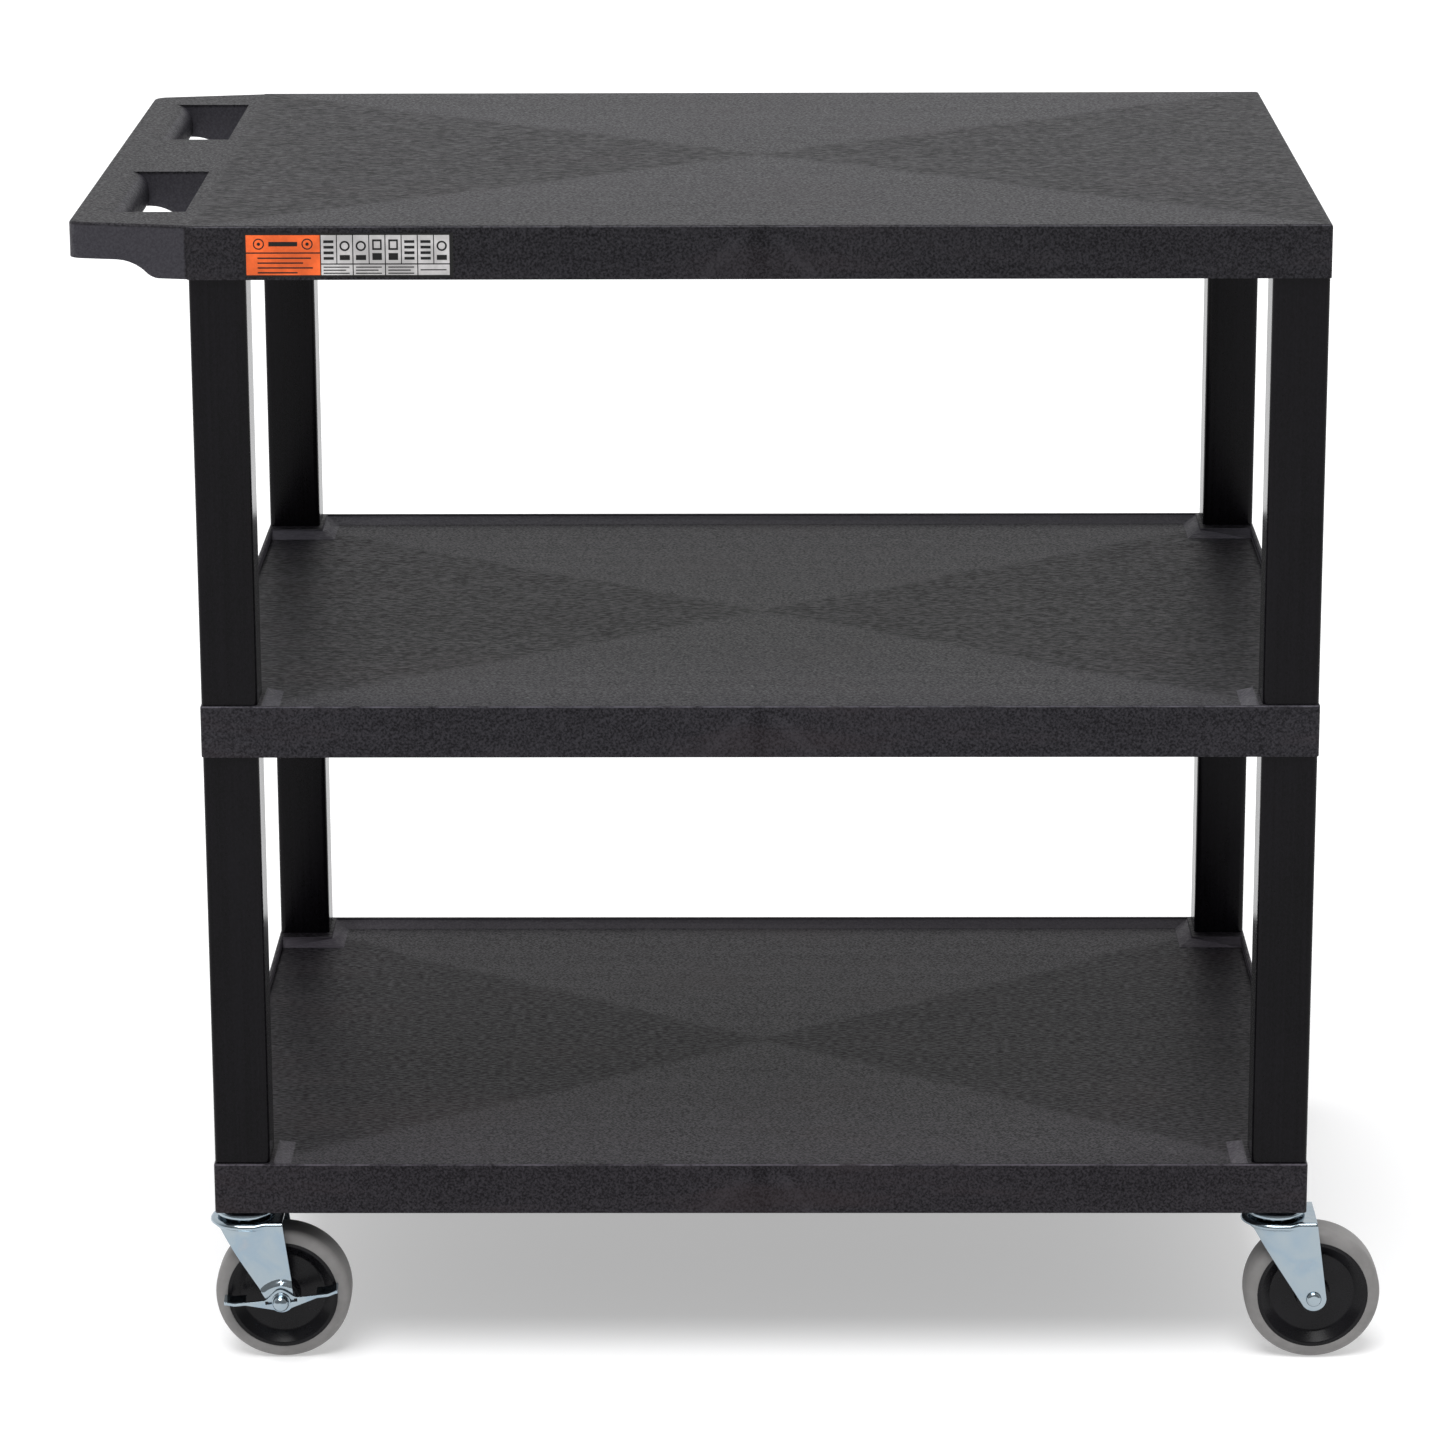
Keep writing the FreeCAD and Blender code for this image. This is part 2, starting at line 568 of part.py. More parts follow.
def front_label():
    """Make the thin label on the top shelf's front skirt."""
    body = new_piece("front_label", "shelf_x", "shelf_y", "top_shelf_z")
    sketch = new_sketch(body, "Film", "XZ_Plane")
    draw_box(sketch, "label_offset", "skirt_height - label_drop - label_height",
             "label_offset + label_length", "skirt_height - label_drop")
    pad(body, sketch, "label_thickness")


# ---------------------------------------------------------------- legs

def corner_formula(axis, inset, side):
    """Return a corner's place in the object's frame, inside the low or high side."""
    start, length = ("shelf_x", "shelf_length") if axis == "X" else ("shelf_y", "shelf_depth")
    return f"{start} + {inset}" if side == 0 else f"{start} + {length} - {inset}"


def leg(tier, corner, x_side, y_side, level):
    """Make one square tube leg."""
    x = corner_formula("X", "leg_centre_x", x_side)
    y = corner_formula("Y", "leg_centre_y", y_side)
    body = new_piece(f"{tier}_leg_{corner}", x, y, level)
    sketch = new_sketch(body, "Section", "XY_Plane")
    draw_square(sketch, "0", "0", "leg_width")
    draw_square(sketch, "0", "0", "leg_bore")
    pad(body, sketch, "leg_length")
    half = value("leg_width / 2")
    outer = [(x_sign * half, y_sign * half) for x_sign in (-1, 1) for y_sign in (-1, 1)]
    fillet(body, "leg_corner_radius", lambda edge: upright_at(edge, outer))
    half = value("leg_bore / 2")
    inner = [(x_sign * half, y_sign * half) for x_sign in (-1, 1) for y_sign in (-1, 1)]
    fillet(body, "leg_bore_radius", lambda edge: upright_at(edge, inner))


# ---------------------------------------------------------------- casters

def swivel_piece(name, corner, x_side, y_side):
    """Add a body at a caster's swivel axis, level with the bottom shelf's underside."""
    return new_piece(f"{name}_{corner}", corner_formula("X", "caster_inset_x", x_side),
                     corner_formula("Y", "caster_inset_y", y_side), "bottom_shelf_z")


def axle_piece(name, corner, x_side, y_side, turn=0.0):
    """Add a body at the middle of a caster's wheel."""
    x = corner_formula("X", "caster_inset_x", x_side) + " + wheel_trail"
    y = corner_formula("Y", "caster_inset_y", y_side)
    return new_piece(f"{name}_{corner}", x, y, "wheel_radius", turn)


def socket(body):
    """Make the sleeve that grips a caster's stem."""
    sketch = new_sketch(body, "Tube", "XY_Plane")
    draw_circle(sketch, "0", "0", "socket_radius")
    draw_circle(sketch, "0", "0", "stem_radius + socket_clearance")
    pad(body, sketch, "socket_length")


def stem(body):
    """Turn the stem, its ring groove, its collar and the riveted kingpin."""
    under = "-crown_top - fork_sheet - side_clearance"
    sketch = new_sketch(body, "Profile", "XZ_Plane")
    draw_outline(sketch, [
        ("0", f"{under} - kingpin_head_height"),
        ("kingpin_head_radius - 1", f"{under} - kingpin_head_height"),
        ("kingpin_head_radius", under), ("kingpin_radius", under), ("kingpin_radius", "-cap_top"),
        ("collar_radius", "-cap_top"), ("collar_radius", "0"), ("stem_radius", "0"),
        ("stem_radius", "ring_seat_height"), ("ring_seat_radius", "ring_seat_height"),
        ("ring_seat_radius", "ring_seat_height + ring_height"),
        ("stem_radius", "ring_seat_height + ring_height"),
        ("stem_radius", "socket_length - 2"), ("stem_radius - 2", "socket_length"), ("0", "socket_length")])
    spin(body, sketch, "V_Axis")


def grip_rings():
    """Make the four slit spring rings in the stems' grooves, as one group."""
    body = new_piece("grip_rings", "shelf_x", "shelf_y", "bottom_shelf_z + ring_seat_height")
    places = corner_places("caster_inset_x", "caster_inset_y")
    rings = new_sketch(body, "Rings", "XY_Plane")
    slits = new_sketch(body, "Slits", "XY_Plane")
    for x, y in places:
        draw_circle(rings, x, y, "stem_radius + socket_clearance")
        draw_circle(rings, x, y, "ring_seat_radius")
        draw_box(slits, x, f"{y} - ring_slit / 2", f"{x} + socket_radius", f"{y} + ring_slit / 2")
    body.AllowCompound = True
    pad(body, rings, "ring_height")
    pocket(body, slits, reverse=True)


def raceway_cap(body):
    """Press the domed cap that covers the swivel balls."""
    sketch = new_sketch(body, "Dome", "XZ_Plane")
    draw_outline(sketch, [
        ("kingpin_radius", "-cap_top"), ("kingpin_radius", "-cap_top - cap_sheet"),
        ("collar_radius", "-cap_top - cap_sheet"), ("cap_radius - cap_sheet", "-cap_top - cap_rise"),
        ("cap_radius", "-cap_top - cap_rise"), ("collar_radius", "-cap_top")],
        {2: ("cap_radius * 1.3", -1), 4: ("cap_radius * 1.3", 1)})
    spin(body, sketch, "V_Axis")


def bearing_balls(body):
    """Set a ring of loose balls between cap and crown."""
    angle = f"360 deg / {int(value('ball_count'))}"
    for number in range(int(value("ball_count"))):
        ball = body.newObject("PartDesign::AdditiveSphere", f"Ball{number}")
        bind(ball, "Radius", "ball_radius")
        bind(ball, "AttachmentOffset.Base.x", f"ball_circle_radius * cos({angle} * {number})")
        bind(ball, "AttachmentOffset.Base.y", f"ball_circle_radius * sin({angle} * {number})")
        bind(ball, "AttachmentOffset.Base.z", "-ball_height")
        plane = next(item for item in body.Origin.OriginFeatures if item.Role == "XY_Plane")
        ball.AttachmentSupport = [(plane, "")]
        ball.MapMode = "FlatFace"
    body.AllowCompound = True
    finish(body, ball)


def fork(body, braked):
    """Fold the fork: crown, two legs, ball groove, kingpin and axle holes, and a brake cam."""
    profile = new_sketch(body, "Profile", "XZ_Plane")
    draw_outline(profile, [
        ("-fork_half_width", "-crown_top"), ("-fork_half_width", "-crown_top - fork_flange"),
        ("-fork_edge_start", "-crown_top - fork_flange"),
        ("wheel_trail + fork_end_radius * cos(edge_angle)", "-axle_drop + fork_end_radius * sin(edge_angle)"),
        ("wheel_trail", "-axle_drop - fork_end_radius"),
        ("wheel_trail + fork_end_radius * cos(back_angle)", "-axle_drop + fork_end_radius * sin(back_angle)"),
        ("fork_reach", "-crown_top")],
        {3: ("fork_end_radius", 1), 4: ("fork_end_radius", 1)})
    pad(body, profile, "2 * fork_half_width", both_ways=True)
    bend = value("fork_half_width")
    fillet(body, "fork_bend_radius", lambda edge: flat_at(edge, "Z", -value("crown_top"))
           and (flat_at(edge, "Y", bend) or flat_at(edge, "Y", -bend)))
    inside = new_sketch(body, "Inside", "XZ_Plane")
    draw_box(inside, "-fork_half_width * 2", "-crown_top - fork_sheet",
             "fork_reach * 3", "-axle_drop - fork_end_radius * 2")
    pocket(body, inside, "2 * fork_inside", both_ways=True)
    nose = new_sketch(body, "Nose", "XY_Plane")
    draw_outline(nose, [
        ("0", "-fork_half_width"), ("0", "-fork_half_width * 2"),
        ("-fork_half_width * 2", "-fork_half_width * 2"), ("-fork_half_width * 2", "fork_half_width * 2"),
        ("0", "fork_half_width * 2"), ("0", "fork_half_width"), ("-fork_half_width", "0")],
        {5: ("fork_half_width", 1), 6: ("fork_half_width", 1)})
    pocket(body, nose)
    flange = new_sketch(body, "NoseFlange", "XY_Plane", "-crown_top - fork_flange")
    draw_outline(flange, [
        ("0", "fork_half_width"), ("-fork_half_width", "0"), ("0", "-fork_half_width"),
        ("0", "-fork_inside"), ("-fork_inside", "0"), ("0", "fork_inside")],
        {0: ("fork_half_width", 1), 1: ("fork_half_width", 1),
         3: ("fork_inside", -1), 4: ("fork_inside", -1)})
    pad(body, flange, "fork_flange")
    groove = new_sketch(body, "BallGroove", "XZ_Plane")
    draw_circle(groove, "ball_circle_radius", "-ball_height", "ball_radius + ball_groove_clearance")
    spin(body, groove, "V_Axis", "Groove")
    kingpin = new_sketch(body, "KingpinHole", "XY_Plane")
    draw_circle(kingpin, "0", "0", "kingpin_radius + running_clearance")
    pocket(body, kingpin)
    if braked:
        brake_cam(body)
    axle = new_sketch(body, "AxleHoles", "XZ_Plane")
    draw_circle(axle, "wheel_trail", "-axle_drop", "axle_radius + axle_clearance")
    pocket(body, axle, "4 * fork_half_width", both_ways=True)


def brake_cam(body):
    """Raise the cam that the pedal's hump climbs, on the outside of the front leg."""
    sketch = new_sketch(body, "Cam", "XZ_Plane", "fork_half_width - fork_sheet / 2")
    draw_outline(sketch, [
        ("wheel_trail - cam_half_width", "-axle_drop + 1"),
        ("wheel_trail - fork_end_radius", "-axle_drop - 2"),
        ("wheel_trail + fork_end_radius", "-axle_drop - 2"),
        ("wheel_trail + fork_end_radius", "-axle_drop + pedal_hump_foot + 2"),
        ("wheel_trail + 2", "-axle_drop + cam_peak"), ("wheel_trail - 3", "-axle_drop + cam_peak")])
    pad(body, sketch, "cam_height + fork_sheet / 2")
    face = -value("fork_half_width + cam_height")
    chamfer(body, "cam_height / 2", lambda edge: flat_at(edge, "Y", face) and edge.CenterOfMass.z
            > -value("axle_drop - 4"))


def wheel_core(body):
    """Turn the hard core: rim, dished disc and hub."""
    half = [("rim_radius", "core_half_width"), ("dish_radius", "dish_half_width"),
            ("hub_radius", "dish_half_width"), ("hub_radius", "hub_half_length"),
            ("bush_radius", "hub_half_length")]
    section = [("core_half_width", "core_radius")] + [(y, radius) for radius, y in half]
    other = [(f"-{y}", radius) for y, radius in reversed(section)]
    sketch = new_sketch(body, "Section", "YZ_Plane")
    draw_outline(sketch, section + other)
    spin(body, sketch, "H_Axis")


def wheel_tread(body):
    """Turn the soft tread with its rounded shoulders."""
    sketch = new_sketch(body, "Section", "YZ_Plane")
    draw_box(sketch, "-tread_width / 2", "core_radius", "tread_width / 2", "wheel_radius")
    spin(body, sketch, "H_Axis")
    limit = value("wheel_radius") - 0.01
    fillet(body, "tread_edge_radius",
           lambda edge: edge.BoundBox.ZMax > limit and edge.BoundBox.YLength < 0.01)


def wheel_bushes(body):
    """Turn the two flanged bushes that the wheel runs on."""
    bore = "sleeve_radius + running_clearance"
    for side in ("", "-"):
        sketch = new_sketch(body, "BushFront" if side else "BushRear", "YZ_Plane")
        draw_outline(sketch, [
            (f"{side}(hub_half_length - bush_length)", bore),
            (f"{side}(hub_half_length - bush_length)", "bush_radius"),
            (f"{side}hub_half_length", "bush_radius"), (f"{side}hub_half_length", "bush_flange_radius"),
            (f"{side}(hub_half_length + bush_flange)", "bush_flange_radius"),
            (f"{side}(hub_half_length + bush_flange)", bore)])
        body.AllowCompound = True
        spin(body, sketch, "H_Axis")


def axle_sleeve(body):
    """Make the spacer sleeve clamped between the fork's legs."""
    sketch = new_sketch(body, "Tube", "XZ_Plane")
    draw_circle(sketch, "0", "0", "sleeve_radius")
    draw_circle(sketch, "0", "0", "axle_radius + axle_clearance")
    pad(body, sketch, "2 * fork_inside", both_ways=True)


def axle_bolt(body, braked):
    """Turn the axle bolt: domed head on one side, shank through to its nut."""
    head = "" if braked else "-"
    tail = "-" if braked else ""
    tip = "(cap_nut_face + cap_nut_base)" if braked else "(fork_half_width + nut_height + 1)"
    sketch = new_sketch(body, "Profile", "YZ_Plane")
    draw_outline(sketch, [
        (f"{head}(fork_half_width + axle_head_height)", "0"), (f"{head}fork_half_width", "axle_head_radius"),
        (f"{head}fork_half_width", "axle_radius"), (f"{tail}{tip}", "axle_radius"), (f"{tail}{tip}", "0")],
        {0: ("head_dome_radius", 1 if braked else -1)})
    spin(body, sketch, "H_Axis")


def hexagon_nut(body):
    """Make the plain nut on the far side of the fork."""
    sketch = new_sketch(body, "Hexagon", "XZ_Plane", "-fork_half_width")
    corners = [(f"nut_radius * cos({60 * i} deg)", f"nut_radius * sin({60 * i} deg)") for i in range(6)]
    draw_outline(sketch, corners)
    draw_circle(sketch, "0", "0", "axle_radius + axle_clearance")
    pad(body, sketch, "nut_height", reverse=True)


def cap_nut(body):
    """Turn the domed cap nut outside the brake pedal."""
    sketch = new_sketch(body, "Profile", "YZ_Plane")
    draw_outline(sketch, [
        ("-cap_nut_face", "axle_radius + axle_clearance"), ("-cap_nut_face", "cap_nut_radius"),
        ("-cap_nut_face - cap_nut_base", "cap_nut_radius"),
        ("-cap_nut_face - cap_nut_base - cap_nut_radius", "0"),
        ("-cap_nut_face - cap_nut_base - axle_clearance", "0"),
        ("-cap_nut_face - cap_nut_base - axle_clearance", "axle_radius + axle_clearance")],
        {2: ("cap_nut_radius", 1)})
    spin(body, sketch, "H_Axis")


def brake_pedal(body):
    """Stamp the brake pedal: pointed plate with a hump, and a toe wing at each end."""
    left = [("pedal_hump_half_width", "pedal_hump_foot"), ("pedal_wing_start + 2", "pedal_wing_level"),
            ("pedal_half_length - pedal_curl_length", "pedal_wing_level"),
            ("pedal_half_length", "pedal_wing_level + pedal_curl"),
            ("pedal_half_length", "pedal_wing_level + pedal_curl - pedal_sheet"),
            ("pedal_half_length - pedal_curl_length", "pedal_wing_level - pedal_sheet"),
            ("pedal_wing_start", "pedal_wing_level - pedal_sheet")]
    right = [(f"-({x})", z) for x, z in reversed(left)]
    plate = new_sketch(body, "Plate", "XZ_Plane", "pedal_back")
    draw_outline(plate, [("0", "pedal_hump")] + left + [("0", "-pedal_point")] + right)
    pad(body, plate, "pedal_sheet")
    wing = [(x, z) for x, z in left[2:6]]
    wing = [("pedal_wing_start", "pedal_wing_level")] + wing + [left[6]]
    for side in ("", "-"):
        sketch = new_sketch(body, "WingLeft" if side else "WingRight", "XZ_Plane", "pedal_back")
        draw_outline(sketch, [(f"{side}({x})", z) for x, z in wing])
        pad(body, sketch, "pedal_wing_depth - pedal_sheet", reverse=True)
    slot = new_sketch(body, "Slot", "XZ_Plane")
    draw_box(slot, "-pedal_slot_half_length", "-pedal_slot_half_height",
             "pedal_slot_half_length", "pedal_slot_half_height")
    pocket(body, slot, reverse=True)
    hole = new_sketch(body, "Pivot", "XZ_Plane")
    draw_circle(hole, "0", "0", "axle_radius + running_clearance")
    pocket(body, hole, reverse=True)


def caster(corner, x_side, y_side, braked):
    """Make every piece of one caster."""
    place = (corner, x_side, y_side)
    socket(swivel_piece("stem_socket", *place))
    stem(swivel_piece("caster_stem", *place))
    raceway_cap(swivel_piece("raceway_cap", *place))
    bearing_balls(swivel_piece("swivel_balls", *place))
    fork(swivel_piece("fork", *place), braked)
    wheel_core(axle_piece("wheel_core", *place))
    wheel_tread(axle_piece("wheel_tread", *place))
    wheel_bushes(axle_piece("wheel_bushes", *place))
    axle_sleeve(axle_piece("axle_sleeve", *place))
    axle_bolt(axle_piece("axle_bolt", *place), braked)
    if braked:
        cap_nut(axle_piece("axle_nut", *place))
        brake_pedal(axle_piece("brake_pedal", *place, turn=-value("brake_tilt")))
    else:
        hexagon_nut(axle_piece("axle_nut", *place))


# ---------------------------------------------------------------- the whole cart

top_shelf()
front_label()
tray_shelf("middle_shelf", "middle_shelf_z", pegs_below=True, with_sockets=False)
tray_shelf("bottom_shelf", "bottom_shelf_z", pegs_below=False, with_sockets=True)
grip_rings()
for side_name, y_index in SIDES.items():
    for end_name, x_index in ENDS.items():
        corner_name = f"{side_name}_{end_name}"
        leg("upper", corner_name, x_index, y_index, "middle_shelf_z + skirt_height")
        leg("lower", corner_name, x_index, y_index, "bottom_shelf_z + skirt_height")
        caster(corner_name, x_index, y_index, end_name in BRAKED_ENDS)

doc.recompute()
for item in doc.Objects:
    if {"Invalid", "Error"} & set(item.State):
        raise RuntimeError(f"{item.Label} failed: {item.State}")
for piece in pieces:
    if piece.Shape.isNull() or not piece.Shape.isValid():
        raise RuntimeError(f"{piece.Label} has no valid shape")

os.makedirs(PARTS_FOLDER, exist_ok=True)
for piece in pieces:
    piece.Shape.exportStep(os.path.join(PARTS_FOLDER, piece.Label + ".step"))
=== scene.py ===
"""Finishes, fine pieces and a studio for a rolling utility cart, built round its CAD frame."""

import json
import logging
import math
from dataclasses import dataclass, field
from enum import Enum
from typing import Any, Callable, Iterable

import bmesh
import bpy
from mathutils import Matrix, Vector


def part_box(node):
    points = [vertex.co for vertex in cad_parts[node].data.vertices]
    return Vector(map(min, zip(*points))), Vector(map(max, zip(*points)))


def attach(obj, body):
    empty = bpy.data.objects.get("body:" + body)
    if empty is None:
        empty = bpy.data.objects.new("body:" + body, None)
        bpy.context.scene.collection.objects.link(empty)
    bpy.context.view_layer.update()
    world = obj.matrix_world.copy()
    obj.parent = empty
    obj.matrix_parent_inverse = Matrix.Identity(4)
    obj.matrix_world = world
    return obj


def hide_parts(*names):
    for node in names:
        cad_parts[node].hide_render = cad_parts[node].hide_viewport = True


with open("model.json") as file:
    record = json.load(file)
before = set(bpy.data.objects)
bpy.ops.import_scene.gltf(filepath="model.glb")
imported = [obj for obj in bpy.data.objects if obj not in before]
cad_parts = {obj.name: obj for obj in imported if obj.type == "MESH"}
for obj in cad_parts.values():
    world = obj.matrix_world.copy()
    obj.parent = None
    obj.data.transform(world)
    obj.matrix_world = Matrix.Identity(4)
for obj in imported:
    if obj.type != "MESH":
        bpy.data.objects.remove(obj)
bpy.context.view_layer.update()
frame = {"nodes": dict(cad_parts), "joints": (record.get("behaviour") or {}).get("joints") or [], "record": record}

MM = 0.001
LOG = logging.getLogger("utility_cart")

Colour = tuple[float, float, float]
Point = tuple[float, float, float]


# ---------------------------------------------------------------- shader maths

class Link:
    """A shader socket that arithmetic can be written on."""

    def __init__(self, shader: "Shader", socket: bpy.types.NodeSocket) -> None:
        """Keep the socket and the shader that its nodes go to."""
        self.shader = shader
        self.socket = socket

    def __add__(self, other: "Link | float") -> "Link":
        """Add a number or a link."""
        return self.shader.maths("ADD", self, other)

    def __sub__(self, other: "Link | float") -> "Link":
        """Take a number or a link away."""
        return self.shader.maths("SUBTRACT", self, other)

    def __rsub__(self, other: float) -> "Link":
        """Take this link from a number."""
        return self.shader.maths("SUBTRACT", other, self)

    def __mul__(self, other: "Link | float") -> "Link":
        """Multiply by a number or a link."""
        return self.shader.maths("MULTIPLY", self, other)

    def __truediv__(self, other: "Link | float") -> "Link":
        """Divide by a number or a link."""
        return self.shader.maths("DIVIDE", self, other)

    __radd__ = __add__
    __rmul__ = __mul__

    def size(self) -> "Link":
        """Return the value without its sign."""
        return self.shader.maths("ABSOLUTE", self)

    def larger(self, other: "Link") -> "Link":
        """Return the larger of this value and another."""
        return self.shader.maths("MAXIMUM", self, other)

    def ramp(self, low: float, high: float) -> "Link":
        """Return a smooth step.

        Args:
            low: The value that gives 0.
            high: The value that gives 1, which may be the smaller one.

        Returns:
            The smooth step as a link.
        """
        settings = {"interpolation_type": "SMOOTHSTEP", "data_type": "FLOAT"}
        if low < high:
            return self.shader.node("ShaderNodeMapRange", settings, {0: self, 1: low, 2: high})
        return 1 - self.shader.node("ShaderNodeMapRange", settings, {0: self, 1: high, 2: low})


class Shader:
    """A node tree with one method that makes nodes and a few short forms of it."""

    def __init__(self, tree: bpy.types.NodeTree) -> None:
        """Empty the tree and keep it."""
        self.tree = tree
        tree.nodes.clear()

    def node(self, kind: str, settings: dict[str, Any] | None = None,
             values: dict[int | str, Any] | None = None, output: int | str = 0) -> Link:
        """Make a node.

        Args:
            kind: The node's type.
            settings: What is set on the node itself. "stops" gives a colour ramp's stops.
            values: A value or a link for each socket, by its name or its number.
            output: The output that is returned.

        Returns:
            The chosen output as a link.
        """
        made = self.tree.nodes.new(kind)
        for name, setting in (settings or {}).items():
            if name == "stops":
                self._set_stops(made.color_ramp, setting)
            else:
                setattr(made, name, setting)
        for key, given in (values or {}).items():
            socket = made.inputs[key]
            if isinstance(given, Link):
                self.tree.links.new(given.socket, socket)
            else:
                socket.default_value = given
        return Link(self, made.outputs[output]) if made.outputs else None

    @staticmethod
    def _set_stops(ramp: bpy.types.ColorRamp, stops: Iterable[tuple[float, Colour]]) -> None:
        """Give a ramp its stops, each a place and a colour.

        Args:
            ramp: The colour ramp.
            stops: The place and colour of each stop.
        """
        stops = list(stops)
        while len(ramp.elements) < len(stops):
            ramp.elements.new(1.0)
        for element, (place, colour) in zip(ramp.elements, stops):
            element.position = place
            element.color = (*colour, 1.0)

    def maths(self, operation: str, *terms: "Link | float") -> Link:
        """Return a Math node's result for one or two terms."""
        return self.node("ShaderNodeMath", {"operation": operation}, dict(enumerate(terms)))

    def place(self, scale: Point = (1, 1, 1), centre: Point = (0, 0, 0),
              turn: Point = (0, 0, 0)) -> Link:
        """Return object coordinates, moved to a centre, turned and scaled, in that order.

        Args:
            scale: The scale along each axis.
            centre: The point that becomes the origin.
            turn: The turn about each axis in radians.

        Returns:
            The place as a link.
        """
        here = self.node("ShaderNodeTexCoord", output="Object")
        if any(centre):
            here = self.node("ShaderNodeVectorMath", {"operation": "SUBTRACT"}, {0: here, 1: centre})
        turned = self.node("ShaderNodeMapping", None, {"Vector": here, "Rotation": turn})
        return self.node("ShaderNodeVectorMath", {"operation": "MULTIPLY"}, {0: turned, 1: scale})

    def axes(self, vector: Link) -> tuple[Link, Link, Link]:
        """Split a vector into its three numbers.

        Args:
            vector: The vector.

        Returns:
            Its X, Y and Z.
        """
        split = self.node("ShaderNodeSeparateXYZ", None, {0: vector})
        outputs = split.socket.node.outputs
        return tuple(Link(self, outputs[number]) for number in range(3))

    def join(self, x: Link | float, y: Link | float, z: Link | float) -> Link:
        """Join three numbers into a vector."""
        return self.node("ShaderNodeCombineXYZ", None, {0: x, 1: y, 2: z})

    def noise(self, where: Link, detail: float = 2.0, rough: float = 0.5, bend: float = 0.0) -> Link:
        """Return noise from 0 to 1 at a scaled place.

        Args:
            where: The scaled place.
            detail: The number of finer layers.
            rough: The strength of the finer layers.
            bend: How far the pattern is distorted.

        Returns:
            The noise as a link.
        """
        return self.node("ShaderNodeTexNoise", {"noise_dimensions": "3D"},
                         {"Vector": where, "Scale": 1.0, "Detail": detail, "Roughness": rough,
                          "Distortion": bend})

    def blend(self, factor: Link | float, first: Any, second: Any) -> Link:
        """Blend two colours.

        Args:
            factor: 0 for the first colour and 1 for the second.
            first: A colour or a link.
            second: A colour or a link.

        Returns:
            The blended colour.
        """
        return self.node("ShaderNodeMix", {"data_type": "RGBA"},
                         {0: factor, 6: self._colour(first), 7: self._colour(second)}, output=2)

    @staticmethod
    def _colour(given: Any) -> Any:
        """Give a plain colour its fourth number."""
        return given if isinstance(given, Link) else (*given, 1.0)

    def bump(self, height: Link, depth: float, strength: float = 1.0) -> Link:
        """Return a bumped normal for a height from 0 to 1 and its depth in metres."""
        return self.node("ShaderNodeBump", None,
                         {"Strength": strength, "Distance": depth, "Height": height})

    def surface(self, values: dict[str, Any]) -> None:
        """End the tree in one principled surface."""
        shader = self.node("ShaderNodeBsdfPrincipled", None, values)
        self.node("ShaderNodeOutputMaterial", None, {0: shader})

    def two_surfaces(self, factor: Link, dull: dict[str, Any], bright: dict[str, Any]) -> None:
        """End the tree in a dull and a bright surface, mixed by a factor.

        Args:
            factor: 0 for the dull surface and 1 for the bright one.
            dull: The dull surface's sockets.
            bright: The bright surface's sockets.
        """
        first = self.node("ShaderNodeBsdfPrincipled", None, dull)
        second = self.node("ShaderNodeBsdfPrincipled", None, bright)
        mixed = self.node("ShaderNodeMixShader", None, {0: factor, 1: first, 2: second})
        self.node("ShaderNodeOutputMaterial", None, {0: mixed})


# ---------------------------------------------------------------- finishes

MADE: dict[str, bpy.types.Material] = {}


@dataclass(frozen=True)
class Finish:
    """A material's name, colour, roughness and depth of relief."""

    name: str
    colour: Colour
    roughness: float
    relief: float = 0.0

    def make(self) -> bpy.types.Material:
        """Return the material, made once.

        Returns:
            The material.
        """
        if self.name not in MADE:
            material = bpy.data.materials.new(self.name)
            material.use_nodes = True
            self.dress(Shader(material.node_tree))
            MADE[self.name] = material
        return MADE[self.name]

    def dress(self, shader: Shader) -> None:
        """Fill the tree. Each finish has its own.

        Args:
            shader: The tree to fill.
        """
        raise NotImplementedError


def shade(colour: Colour, amount: float) -> Colour:
    """Return a colour made lighter or darker by a factor."""
    return tuple(channel * amount for channel in colour)


